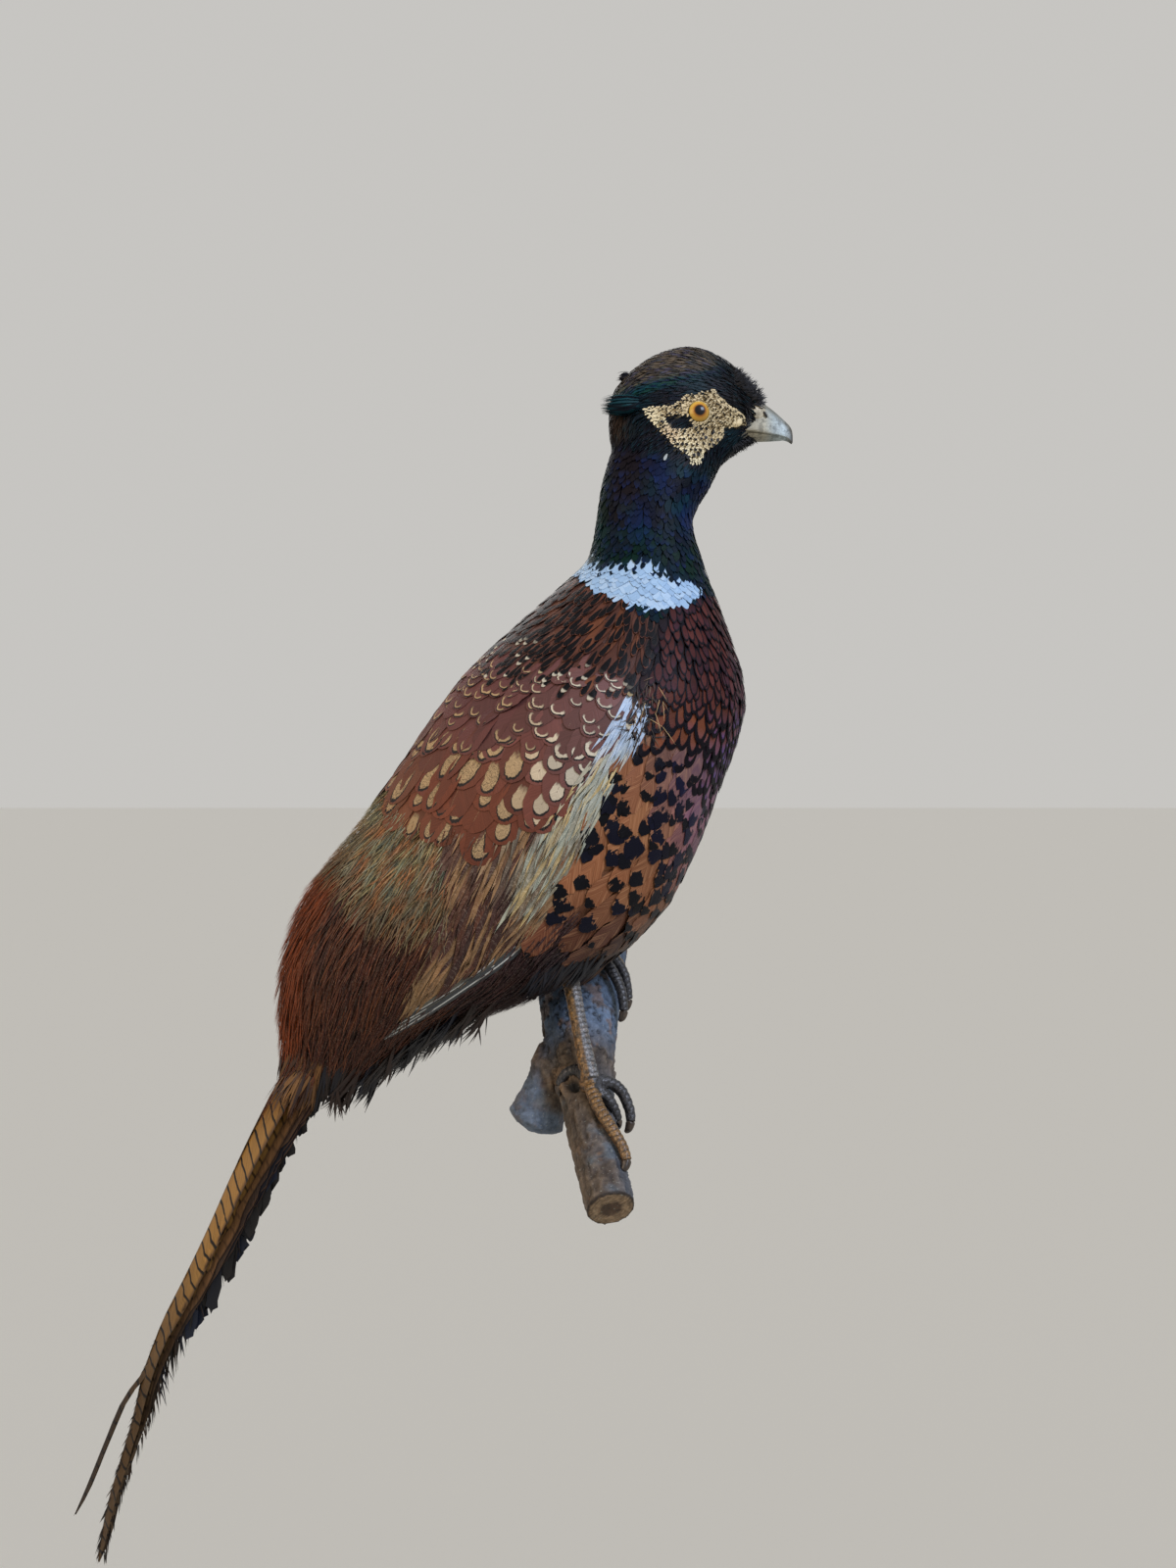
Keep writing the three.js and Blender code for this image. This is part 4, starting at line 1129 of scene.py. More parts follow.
def loose_feathers(form, name, rows, material, ring="plain", outline=pointed, steps=MEDIUM, sink=1.2, bow=0.0,
                   slot="body_plumage", seed=1):
    """Feathers set one by one on both sides: x and z in side view, the way it points as x and z, its length,
    half width and lift in mm, and its colour."""
    colours = np.array([linear(row[7]) for row in rows])
    x, z, dx, dz, length, half, lift = np.array([row[:7] for row in rows], float).T
    found = []
    for side, _ in SIDES:
        place, normal, _, _ = form.at(*form.find(x, z, side))
        way = np.stack([dx, np.zeros(len(x)), dz], -1)
        way = unit(way - 0.85 * dot(way, normal) * normal)
        first = place - normal * sink * MM
        last = place + way * (length * MM)[:, None] + normal * (lift * MM)[:, None]
        found.append(lines_between(first, last, normal * (bow * length * MM)[:, None], steps, normal))
    lines = tuple(np.concatenate([found[0][k], found[1][k]]) for k in range(3))
    piece = feather_mesh(name, lines, steps, np.tile(half, 2) * MM, np.tile(length, 2) * MM, ring, outline,
                         0.1, 0.12 * MM, colours={"base": np.tile(colours, (2, 1))},
                         patch=plain_patches(2 * len(x)), seed=seed)
    settle(piece, material, slot)


def loose_row(random, x, z, turn, length, half, lift, tones):
    """A row for loose_feathers. A size may be a pair to draw between, and its colour one of some tones."""
    sizes = [random.uniform(*size) if isinstance(size, tuple) else size for size in (length, half, lift)]
    tone = random.choice(tones) if isinstance(tones, list) else tones
    return (x, z, math.cos(turn), math.sin(turn), *sizes, tone)


def build_face(form):
    """Face dots, forehead and chin bristles, the bare bumps by the bill, and a stray white feather."""
    random = np.random.default_rng(51)
    horny = plain_material("face bristles", 0.5, "#202c48", 0.0, depth=0.3)
    rows = []

    def bare(x, z, clear_mm):
        place = np.array([x]), np.array([z])
        on_face = inside(FACE, *place)[0] and not inside(EYE_BAR, *place)[0]
        eye_x, eye_z = 60.9, 285
        return on_face and np.hypot(x - eye_x, z - eye_z) > clear_mm

    for row in range(6):
        for k in range(13):
            x = 36 + k * 3.0 + (row % 2) * 1.5 + random.normal(0, 0.35)
            z = 276.5 - row * 2.8 + random.normal(0, 0.35)
            size = 0.62 + 0.12 * row + random.normal(0, 0.09)
            if bare(x, z, 7.4):
                rows.append((x, z, -0.5, -0.9, 2.1 * size + 0.4, size, 1.0, "#050507"))
    for _ in range(520):
        x, z = random.uniform(40, 88), random.uniform(275, 298)
        if bare(x, z, 7.2):
            length, half = random.uniform(1.0, 1.5), random.uniform(0.38, 0.6)
            rows.append((x, z, -0.8, -0.5, length, half, 1.0, "#0c0908"))
    loose_feathers(form, "face_dots", rows, horny, outline=rounded, steps=SHORT, sink=0.3,
                   slot="head_plumage", seed=52)
    rows = []
    tones = ["#060609", "#0a0a10", "#0c0e16"]
    for _ in range(420):
        x = random.uniform(80, 94.5)
        z = np.interp(x, [80, 88, 94.5], [308, 301, 293]) - random.random() ** 1.5 * 7
        rows.append(loose_row(random, x, z, random.uniform(-0.5, 0.9), (2.6, 5.4), 0.3, (0.8, 2.6), tones))
    for _ in range(160):
        x = random.uniform(80, 92)
        z = np.interp(x, [80, 92], [264, 269.5]) + random.uniform(0, 3)
        rows.append(loose_row(random, x, z, random.uniform(-1.4, -0.4), (1.6, 3.0), 0.2, (0.3, 1.2), tones))
    for _ in range(60):
        x, z = random.uniform(86.8, 89.6), random.uniform(279, 289)
        rows.append((x, z, 0.1, -1.0, random.uniform(2.0, 3.0), 0.22, 0.9, "#060609"))
    loose_feathers(form, "forehead_bristles", rows, horny, "hair", strand, HAIR, 0.6, 0.05,
                   "head_plumage", 53)
    white = plain_material("stray white feather", 0.6, "#dfe8f4", 0.05, depth=0.12)
    loose_feathers(form, "stray_feather", [(43.4, 262.2, -0.35, -0.95, 4.6, 0.8, 1.2, "#949a98")], white,
                   "broad", rounded, FULL, 0.2, 0.05, "white_plumage", 54)
    skin = bare_skin_material()
    for side, label in SIDES:
        place = form.at(*form.find([81.2], [280.2], side))[0][0] + np.array([0, side * -0.7 * MM, 0])
        ellipsoid("lore_bump_" + label, (4.0, 1.0, 3.1), place, (0, 0, 0), skin, "head_plumage")


def ellipsoid(name, radii, place, turn, material, slot):
    """A smooth rounded piece with these radii in mm, turned and set in its place."""
    deselect()
    bpy.ops.mesh.primitive_uv_sphere_add(segments=24, ring_count=14, radius=1)
    piece = bpy.context.object
    piece.name = name
    piece.scale = [radius * MM for radius in radii]
    piece.rotation_euler = turn
    piece.location = place
    bpy.ops.object.transform_apply(location=True, rotation=True, scale=True)
    bpy.ops.object.shade_smooth()
    settle(piece, material, slot)


def bare_skin_material(name="bare skin", low="#b3a27a", high="#cdbd94"):
    """Dry bare skin, finely pimpled, with a few dark pores."""
    material, node = new_material(name)
    place = node("TexCoord").outputs["Object"]
    cells = node("TexVoronoi", {"Vector": place, "Scale": 1300.0, "Randomness": 0.9})
    pore = node("ValToRGB", [cells], stops=[(0.1, 0.0), (0.35, 1.0)])
    tint = node("TexNoise", {"Vector": place, "Scale": 400.0, "Detail": 2.0})
    cream = node("ValToRGB", [tint], stops=[(0.35, low), (0.65, high)])
    colour = node("MixRGB", [pore, rgba("#3a3026"), cream])
    bump = node("Bump", {"Height": cells, "Strength": 0.6, "Distance": 0.3 * MM})
    finish_material(node, {"Base Color": colour, "Roughness": 0.6, "Normal": bump})
    return material


EYE_X, EYE_Z = 59.3, 279.6           # the eyeball's centre, and how far it is from the middle plane, in mm
EYE_OUT = 12.4
EYE_RADIUS = 7.2


def eye_material():
    """Glass eye: a black pupil in an amber iris, painted under a thick clear glass front."""
    material, node = new_material("glass eye")
    place = node("TexCoord").outputs["Object"]
    off = node("VectorMath", [place, ((EYE_X + 0.5) * MM, 0, (EYE_Z + 0.4) * MM)], operation="SUBTRACT")
    flat = node("VectorMath", [off, (1, 0, 1)], operation="MULTIPLY")
    reach = node("VectorMath", [flat], operation="LENGTH").outputs["Value"]
    share = node("Math", [reach, EYE_RADIUS * MM], operation="DIVIDE")
    rays = node("TexNoise", {"Vector": place, "Scale": 700.0, "Detail": 2.0})
    share = node("Math", [rays, 0.035, share], operation="MULTIPLY_ADD")
    iris = node("ValToRGB", [share], stops=[(0.33, "#0a0810"), (0.39, "#3b2413"), (0.46, "#9a6422"),
                                            (0.62, "#c2973c"), (0.77, "#b99a44"), (0.83, "#2c2014")])
    parts = node("SeparateXYZ", [off])
    lower = node("Math", [parts.outputs["X"], parts.outputs["Z"]], operation="SUBTRACT")
    warm = node("MapRange", [lower, -3 * MM, 7 * MM, 0.0, 0.4])
    warmed = node("MixRGB", [warm, iris, rgba("#8a3a12")], blend_type="MULTIPLY")
    finish_material(node, {"Base Color": warmed, "Roughness": 0.5, "Specular IOR Level": 0.1,
                           "Coat Weight": 0.4, "Coat Roughness": 0.05, "Coat IOR": 1.5})
    return material


def build_eyes():
    """A glass eye on each side in a swollen rim of bare skin, with a dark edge where the lids meet it."""
    glass, skin = eye_material(), bare_skin_material()
    edge, node = new_material("lid edge")
    finish_material(node, {"Base Color": rgba("#1c1512"), "Roughness": 0.4})
    lid_squash = 0.95
    # name, radius, thickness, distance from the middle plane, material
    rims = [("lid_", 6.25, 0.5, 16.2, skin), ("lid_fold_", 6.9, 0.7, 15.5, skin),
            ("lid_edge_", 5.85, 0.14, 16.6, edge)]

    def set_in(name, out, squash, material, slot, *nodes):
        piece = bpy.context.object
        bpy.ops.transform.rotate(value=math.pi / 2, orient_axis="X", center_override=(0, 0, 0))
        piece.scale = (1.0, squash, 1.0)
        piece.location = (EYE_X * MM, MID_Y + side * out * MM, EYE_Z * MM)
        only(piece)
        bpy.ops.object.transform_apply(location=True, rotation=True, scale=True)
        bpy.ops.object.shade_smooth()
        piece.name = name
        settle(piece, material, slot, *nodes)

    for side, label in SIDES:
        deselect()
        bpy.ops.mesh.primitive_uv_sphere_add(segments=48, ring_count=32, radius=EYE_RADIUS * MM)
        set_in("eyeball_" + label, EYE_OUT, 1.0, glass, "glass_eye", "eye_" + label)
        for name, major, minor, out, material in rims:
            deselect()
            bpy.ops.mesh.primitive_torus_add(major_segments=48, minor_segments=12, major_radius=major * MM,
                                             minor_radius=minor * MM)
            set_in(name + label, out, lid_squash, material, "head_plumage")


def build_skin(form):
    """One skin for all the flesh, under the coat by its depth, in the coat's own colours."""
    skin = remeshed("skin", FLESH)
    places, normals = corner_array(skin.data), corner_normals(skin.data)
    x, z = side_view(places)
    net, outward = form.place.reshape(-1, 3), form.outward.reshape(-1, 3)
    tree = search_tree(net)
    nearest = np.array([tree.find(point)[1] for point in places])
    s = (nearest // ROUND_STEPS).astype(float)
    proud = dot(places - net[nearest], outward[nearest])[:, 0]
    tract = tract_at(x, z, s)
    depth = np.interp(s, np.array([0, 7, 10, 13, 16]) * STEPS_PER_BAY, [1.2, 1.6, 2.0, 2.2, 3.0])
    depth[tract == TRACT["face"]] = 1.3
    set_corners(skin.data, places - normals * (depth * MM + proud.clip(0, 4 * MM))[:, None])
    painted(skin.data, coat_colour(tract, x, z, normals, speckle(x, z, 3, 5)))
    smoothed(skin)
    material, node = new_material("bird skin")
    pimples = node("TexVoronoi", {"Scale": 1100.0, "Randomness": 0.9})
    bump = node("Bump", {"Height": pimples, "Strength": 0.5, "Distance": 0.4 * MM})
    finish_material(node, {"Base Color": ground(node), "Roughness": 0.6, "Normal": bump})
    settle(skin, material, "head_plumage", *FLESH)


def build_studio():
    """Plain pale floor, soft light a little cool from the right and warm from the left, and the camera."""
    world = bpy.data.worlds.new("studio air")
    bpy.context.scene.world = world
    world.use_nodes = True
    air = world.node_tree.nodes["Background"]
    air.inputs["Color"].default_value = rgba("#eceae6")
    air.inputs["Strength"].default_value = 0.68
    deselect()
    bpy.ops.mesh.primitive_plane_add(size=80, location=(0, 0, -0.75))
    floor = bpy.context.object
    floor.name = "floor"
    bpy.ops.object.transform_apply(location=True, rotation=True, scale=True)
    material, node = new_material("pale studio floor")
    finish_material(node, {"Base Color": rgba("#f6f4f0"), "Roughness": 0.9})
    floor.data.materials.append(material)
    unlit = bpy.data.collections.new("lit by the air alone")
    unlit.objects.link(floor)
    lamps = [("key", (0.9, -1.2, 1.2), 0.7, 32, "#dce6ff"), ("fill", (-1.3, -1.0, 0.6), 1.0, 13, "#ffe2c0"),
             ("rim", (-0.4, 1.2, 1.3), 1.0, 8, "#ffffff")]
    for name, place, size, power, colour in lamps:
        lamp = bpy.data.lights.new(name, "AREA")
        lamp.size = size
        lamp.energy = power
        lamp.color = linear(colour)
        holder = put_in_scene(name, lamp)
        holder.location = place
        way = Vector((-0.03, MID_Y, 0.05)) - Vector(place)
        holder.rotation_euler = way.to_track_quat("-Z", "Y").to_euler()
        holder.light_linking.receiver_collection = unlit
    unlit.collection_objects[0].light_linking.link_state = "EXCLUDE"
    camera = put_in_scene("camera", bpy.data.cameras.new("camera"))
    camera.location = CAMERA_AT
    camera.rotation_euler = (math.radians(90), 0, 0)
    camera.data.lens = LENS_MM
    camera.data.sensor_width = SENSOR_MM
    camera.data.clip_start = 0.01
    bpy.context.scene.camera = camera
    bpy.context.scene.view_settings.view_transform = "Standard"


# ---- tufts, tail, horn, feet and branch
def lines_between(first, last, sag, steps, outward):
    """Centre lines from first to last places, bowed by sag in the middle, with their normals and ways."""
    v = np.array(steps)[None, :, None]
    places = first[:, None] * (1 - v) + last[:, None] * v + sag[:, None] * (4 * v * (1 - v))
    ways = unit(np.gradient(places, axis=1))
    normals = np.broadcast_to(outward[:, None], places.shape)
    normals = unit(normals - dot(normals, ways) * ways)
    return places, normals, ways


def plain_patches(count):
    """Bake patches for loose feathers, side by side in a square."""
    side = math.ceil(math.sqrt(count))
    index = np.arange(count)
    return np.stack([index % side, index // side], -1) / side * 0.98 + 0.01, 0.9 / side


def build_tuft(name, node, count, colours, material, seed):
    """A tuft of fine feathers that fills its solid, drawn together at the tip."""
    random = np.random.default_rng(seed)
    low, high = (np.array(corner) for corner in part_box(node))
    middle, half = (low + high) / 2, (high - low) / 2
    turn = random.random(count) * 2 * math.pi
    spread = np.sqrt(random.random(count))
    out = np.stack([np.zeros(count), np.cos(turn) * spread, np.sin(turn) * spread], -1)
    back = random.random(count) * half[0] * 0.9
    first = np.array([high[0], middle[1], middle[2]]) + out * half * 0.8
    first[:, 0] -= back * 0.4
    last = np.array([low[0], middle[1], middle[2]]) + out * half * 0.8
    last[:, 0] += back
    last[:, 2] -= 0.25 * half[2]
    steps = [0, 0.3, 0.6, 0.85, 1]
    outward = unit(out + np.array([0, -0.2 * np.sign(MID_Y - middle[1] + 1e-9), 0.2]))
    lines = lines_between(first, last, out * half * 0.35, steps, outward)
    length = np.linalg.norm(last - first, axis=1)
    base = pick(colours, random.random(count)) * (0.8 + 0.4 * random.random(count))[:, None]
    piece = feather_mesh(name, lines, steps, 0.55 * MM, length, "plain", pointed, 0.2, 0.15 * MM, 0.12,
                         colours={"base": base}, patch=plain_patches(count), seed=seed)
    settle(piece, material, "head_plumage", node)


# The tail's middle line, and its two long tips, as x and z in mm.
TAIL_LINE = [(-146, -62), (-158, -84), (-174.5, -114), (-188, -141), (-201, -169), (-215, -196), (-228, -220),
             (-239, -246)]
TIP_UPPER = [(-251.5, -262), (-262.5, -285), (-273, -308), (-281, -324.5)]
TIP_LOWER = [(-245, -268), (-252, -289), (-261, -315), (-266, -335), (-268.5, -350)]


def tail_feather(line, share, aside, below, roll, steps):
    """One tail feather's centre line: aside and below are shares of the tail's half width and height."""
    path = smooth_line(line, 8) * MM
    run = np.concatenate([[0], np.cumsum(np.linalg.norm(np.diff(path, axis=0), axis=1))])
    at = np.array(steps) * share * run[-1]
    x, z = np.interp(at, run, path[:, 0]), np.interp(at, run, path[:, 1])
    way = unit(np.gradient(np.stack([x, np.zeros(len(x)), z], -1), axis=0))
    up = np.stack([way[:, 2], np.zeros(len(x)), -way[:, 0]], -1)
    high = np.interp(at, [0, 0.12, 0.2, 0.32], [11.5, 9.5, 7.0, 1.5])[:, None] * MM
    wide = np.interp(at, [0, 0.12, 0.2, 0.32], [13.0, 9.5, 6.5, 0.5])[:, None] * MM
    level = np.array([0, 1.0, 0])
    places = np.stack([x, np.full(len(x), MID_Y), z], -1) + up * high * (1 - below) + level * wide * aside
    turn = math.radians(roll)
    normals = unit(up * math.cos(turn) + level * math.sin(turn) * np.sign(aside))
    return places, normals, way, share * run[-1]


def long_tip(v):
    """Half width of the longest tail feather, which runs out in a thin wisp."""
    return (1 - 0.5 * v) * (1 - 0.67 * ease(0.57, 0.71, v)) * round_tip(v, 0.93, 0.07, 0.01)


def barred_tip(v):
    """Half width of the other tail feathers: slowly tapering to a rounded tip."""
    return (1 - 0.66 * v) * round_tip(v, 0.93, 0.07, 0.004)


def build_tail():
    """The tail: a long middle pair roofed over shorter feathers that overlap down each side, frayed below."""
    random = np.random.default_rng(31)
    steps = list(np.linspace(0, 0.94, 30)) + [0.97, 1.0]
    long_line, low_line = TAIL_LINE + TIP_UPPER, TAIL_LINE + TIP_LOWER
    gold, brown, black = "#96703a", "#704e2e", "#11121b"
    # line, share of it, aside, below, roll in degrees, half width in mm, colour and strength of the bars
    middle = [(long_line, 1.0, 0.02, 0.0, 0, 16.5, gold, 1.0)]
    second = [(low_line, 1.0, -0.02, 0.05, 0, 15.5, gold, 1.0)]
    sides = []
    # the same without the line, for each side's rows from the middle outwards
    rows = [(0.86, 0.45, 0.62, 50, 11.0, "#84602f", 0.75), (0.74, 0.60, 1.1, 58, 9.0, brown, 0.35),
            (0.60, 0.66, 1.45, 64, 7.5, "#3a2a20", 0.15), (0.45, 0.66, 1.7, 68, 6.5, black, 0.0),
            (0.30, 0.6, 1.9, 60, 6.0, black, 0.0)]
    for share, aside, below, roll, half, colour, bars in rows:
        for side in (-1, 1):
            line = long_line if share < 0.7 else low_line
            reach = share + 0.03 * random.random()
            sides.append((line, reach, side * aside, below, roll, half, colour, bars))
    for aside in (-0.35, 0.02, 0.35):
        sides.append((low_line, 0.5, aside, 1.8, 180, 8, black, 0.0))
    material = tail_material()
    parts = [("upper", middle, 0.78, long_tip), ("lower", second, 0.78, barred_tip),
             ("sides", sides, 0.12, barred_tip)]
    for name, plans, fold, outline in parts:
        found = [tail_feather(*plan[:5], steps) for plan in plans]
        places, normals, ways = (np.stack([entry[i] for entry in found]) for i in range(3))
        down = -(places[..., 2] - (-60 * MM))
        base = np.array([linear(plan[6]) for plan in plans])[:, None] * np.ones_like(places)
        base = mix(base, "#7a4720", ease(0.06, 0.0, down) * 0.4)
        base = mix(base, "#352a20", ease(0.09, 0.2, down) * 0.85)
        base = mix(base, "#241c17", ease(0.17, 0.21, down) * (name == "upper") * 0.85)
        base = base * (0.85 + 0.3 * random.random(len(plans)))[:, None, None]
        edge = mix("#4a3320", "#54422c", ease(0.1, 0.2, down))
        piece = feather_mesh("tail_feathers_" + name, (places, normals, ways), steps,
                             np.array([plan[5] for plan in plans]) * MM,
                             np.array([entry[3] for entry in found]), "roof", outline, fold, 0.4 * MM, 0.012,
                             0.36, colours={"base": base, "mark": edge},
                             numbers={"fleck": np.array([plan[7] for plan in plans])},
                             patch=plain_patches(len(plans)), seed=32)
        nodes = ["tail", "tail_tip_upper", "tail_tip_lower"] if name == "upper" else []
        settle(piece, material, "tail_plumage", *nodes)
    path = smooth_line(low_line, 8) * MM
    run = np.linspace(0, 1, len(path))
    # name, how many, between which shares of the line, section, outline, half width, shortest length and
    # how much longer they may be in mm, and colours
    fringes = [
        ("tail_tip_barbs", 130, 0.5, 0.97, "hair", strand, 0.55, 5, 7, ["#1c1611", "#3a2c20", "#2a2018"]),
        ("tail_torn_edge", 44, 0, 0.46, "plain", blade, 4.4, 13, 17, ["#0e1018", "#141a28", "#161312"]),
        ("tail_fringe", 150, 0, 0.62, "hair", strand, 0.6, 8, 8, ["#12141f", "#1c1611", "#2a1c12"])]
    way_steps = [0, 0.4, 0.75, 0.92, 1]
    for name, loose, start, until, ring, outline, half, short, more, colours in fringes:
        share = start + random.random(loose) ** 1.2 * (until - start)
        side = np.where(random.random(loose) > 0.5, 1, -1) if start else np.ones(loose)
        torn = 1.0 if start else 5.5
        first, last = [], []
        for k in range(loose):
            here = [share[k], share[k] + 0.02]
            (x, ahead_x), (z, ahead_z) = (np.interp(here, run, line) for line in path.T)
            way = unit(np.array([ahead_x - x, 0, ahead_z - z]))
            up = np.array([way[2], 0, -way[0]])
            high = np.interp(share[k], [0, 0.35, 0.62, 1], [10.5, 9.5, 6.0, 2.0]) * MM
            up = up * side[k]
            root = np.array([x, MID_Y + (random.random() - 0.5) * high, z]) - up * high * 0.5
            first.append(root)
            last.append(root - up * (high * 0.45 + torn * random.random() * MM)
                        + way * (short + more * random.random()) * MM)
        first, last = np.array(first), np.array(last)
        level = np.where(random.random(loose) > 0.5, 1.0, -1.0)[:, None] * np.array([0, 1.0, 0])
        lines = lines_between(first, last, np.zeros((loose, 3)), way_steps, level)
        dark = pick(colours, random.random(loose))
        fringe = feather_mesh(name, lines, way_steps, half * MM, np.linalg.norm(last - first, axis=1), ring,
                              outline, 0.1, 0.2 * MM, 0.2, 0.5, colours={"base": dark},
                              patch=plain_patches(loose), seed=33)
        material = plain_material(name.replace("_", " "), 0.45, "#3a4058", 0.03, depth=0.3)
        settle(fringe, material, "tail_plumage")


def quill_material():
    """Flight feathers of the wing: slate-grey vanes with a white shaft."""
    material, node = new_material("flight feathers")
    parts = vane_parts(node)
    off = node("Math", [parts.outputs["X"], 0.5], operation="SUBTRACT")
    off = node("Math", [off], operation="ABSOLUTE")
    shaft = node("ValToRGB", [off], stops=[(0.06, 1.0), (0.1, 0.0)])
    colour = node("MixRGB", [shaft, ground(node), rgba("#c2c4bf")])
    feather_finish(node, colour, barbs(node, 0.9, 1.4), 0.4, "#8a8a90", 0.03, 0.4)
    return material


def build_quills(form):
    """The folded flight feathers that show along each wing's lower edge."""
    steps = list(np.linspace(0, 1, 12))
    tones = ["#34373a", "#45453f", "#2a2c2e", "#55534a", "#37322f"]
    found, base, length = [], [], []
    for side in (-1, 1):
        for k, tone in enumerate(tones):
            start = np.array([-28 - 3.5 * k, -3 - 1.4 * k])
            end = np.array([-112 + 4.2 * k, -60 + 3.8 * k])
            sag = np.array([1.2, -1.8])
            v = np.array(steps)[:, None]
            line = start + (end - start) * v + sag * 4 * v * (1 - v)
            place, normal, _, _ = form.at(*form.find(line[:, 0], line[:, 1], side))
            for _ in range(3):
                place[1:-1] = (place[2:] + place[:-2] + 2 * place[1:-1]) / 4
                normal[1:-1] = (normal[2:] + normal[:-2] + 2 * normal[1:-1]) / 4
            normal = unit(normal)
            sunk = 3.0 * ease(0.25, 0.0, v) + 0.3
            place = place + normal * (0.2 * (len(tones) - k) - sunk) * MM
            found.append((place, normal, unit(np.gradient(place, axis=0))))
            base.append(linear(tone))
            length.append(np.linalg.norm(np.diff(place, axis=0), axis=1).sum())
    lines = tuple(np.stack([entry[i] for entry in found]) for i in range(3))
    piece = feather_mesh("wing_quills", lines, steps, 2.2 * MM, np.array(length), "roof", blade, 0.15,
                         0.3 * MM, 0.02, 0.12, colours={"base": np.array(base)},
                         patch=plain_patches(len(base)), seed=35)
    settle(piece, quill_material(), "quill_plumage")


def build_loose_ends(form):
    """Ragged tufts under the tail coverts, gold wisps over the tail's foot, down in the shoulder's gap."""
    random = np.random.default_rng(61)
    wisps = plain_material("ragged covert ends", 0.5, "#3a4058", 0.03, depth=0.35)
    rows = []
    for _ in range(38):
        middle = random.uniform(-148, -50)
        foot = np.interp(middle, [-146, -120, -84, -58], [-80, -80, -58, -44])
        heading = random.normal(-112, 9)
        tone = random.choice(["#120f14", "#20150f", "#141520", "#2a1a13"])
        reach = random.uniform(16, 36)
        for _ in range(14):
            x, z = middle + random.normal(0, 1.8), foot + random.uniform(-3, 5)
            turn = math.radians(heading - 6 * (x - middle) / 1.8 + random.normal(0, 3))
            length = reach * random.uniform(0.75, 1.05)
            rows.append(loose_row(random, x, z, turn, length, (0.5, 1.1), (0.0, 2.0), tone))
    # how many, between which x, the height of their roots there and its spread, heading and its spread,
    # length, half width and colours
    patches = [(130, (-178, -146), (-72, -80), (-6, 10), (-113, 8), (12, 24), (0.5, 1.0),
                ["#5c3c1a", "#6b4820", "#40281a", "#2c1a12"]),
               (150, (-26, 12), (-24, -16), (-4, 4), (-118, 10), (12, 20), (0.6, 1.2),
                ["#14151c", "#1a1a22", "#201718", "#101118"])]
    for count, ends, heights, spread, heading, length, half, tones in patches:
        for _ in range(count):
            x = random.uniform(*ends)
            z = np.interp(x, ends, heights) + random.uniform(*spread)
            turn = math.radians(random.normal(*heading))
            rows.append(loose_row(random, x, z, turn, length, half, (0.0, 1.5), tones))
    loose_feathers(form, "covert_tufts", rows, wisps, "plain", pointed, MEDIUM, 1.0, 0.04, "dark_plumage", 62)
    down = plain_material("shoulder down", 0.6, "#8a7468", 0.1, depth=0.2)
    gap = [(24, 134), (36, 140), (42, 122), (38, 104), (28, 98), (20, 112)]
    tones = ["#3b2c22", "#2b211b", "#5a4733", "#201a18"]
    rows = []
    while len(rows) < 90:
        x, z = random.uniform(18, 44), random.uniform(96, 142)
        if inside(gap, np.array([x]), np.array([z]))[0]:
            turn = math.radians(random.normal(-100, 35))
            rows.append(loose_row(random, x, z, turn, (4, 8), (0.25, 0.5), (0.1, 0.8), tones))
    for _ in range(9):
        x, z = random.uniform(26, 42), random.uniform(108, 138)
        turn = math.radians(random.uniform(-170, -20))
        rows.append(loose_row(random, x, z, turn, (8, 14), 0.17, (1.5, 3.0), "#b89c6c"))
    loose_feathers(form, "shoulder_down", rows, down, "hair", strand, HAIR, 0.3, 0.06, "body_plumage", 63)


def horn_material():
    """Bill horn: dry streaky keratin, olive-grey ridge, buff foot, and a painted bluish-white highlight
    before a dark hook.
    """
    material, node = new_material("bill horn")
    place = node("TexCoord").outputs["Object"]
    parts = node("SeparateXYZ", [place])
    along = node("MapRange", [parts.outputs["X"], 0.087, 0.113])
    # painted highlight: the bluish white at 0.78, on the pale horn
    colour = node("ValToRGB", [along], stops=[(0.0, "#9c9682"), (0.35, "#a5a290"), (0.55, "#9ba5a3"),
                                              (0.78, "#b4c2c4"), (0.90, "#828886"), (0.97, "#2e2824")])
    stretched = node("VectorMath", [place, (300, 900, 1300)], operation="MULTIPLY")
    grain = node("TexNoise", {"Vector": stretched, "Scale": 1.0, "Detail": 4.0, "Roughness": 0.7})
    ridge = node("Math", [parts.outputs["X"], 0.85, parts.outputs["Z"]], operation="MULTIPLY_ADD")
    ridge = node("MapRange", [ridge, 0.3635, 0.3700])
    uneven = node("Math", [grain, 0.9, ridge], operation="MULTIPLY_ADD")
    top = node("ValToRGB", [node("Math", [uneven, 0.5], operation="MULTIPLY")],
               stops=[(0.46, 0.0), (0.7, 0.8)])
    colour = node("MixRGB", [top, colour, rgba("#5f5a4a")])
    shade = node("ValToRGB", [grain], stops=[(0.32, 0.6), (0.62, 1.0)])
    colour = node("MixRGB", [1.0, colour, shade], blend_type="MULTIPLY")
    chips = node("TexNoise", {"Vector": place, "Scale": 260.0, "Detail": 4.0, "Roughness": 0.65})
    worn = node("ValToRGB", [chips], stops=[(0.42, 0.6), (0.5, 1.0)])
    colour = node("MixRGB", [1.0, colour, worn], blend_type="MULTIPLY")
    relief = node("Math", [grain, chips], operation="ADD")
    bump = node("Bump", {"Height": relief, "Strength": 0.8, "Distance": 0.35 * MM})
    finish_material(node, {"Base Color": colour, "Roughness": 0.6, "IOR": 1.54, "Normal": bump,
                           "Specular IOR Level": 0.28})
    return material


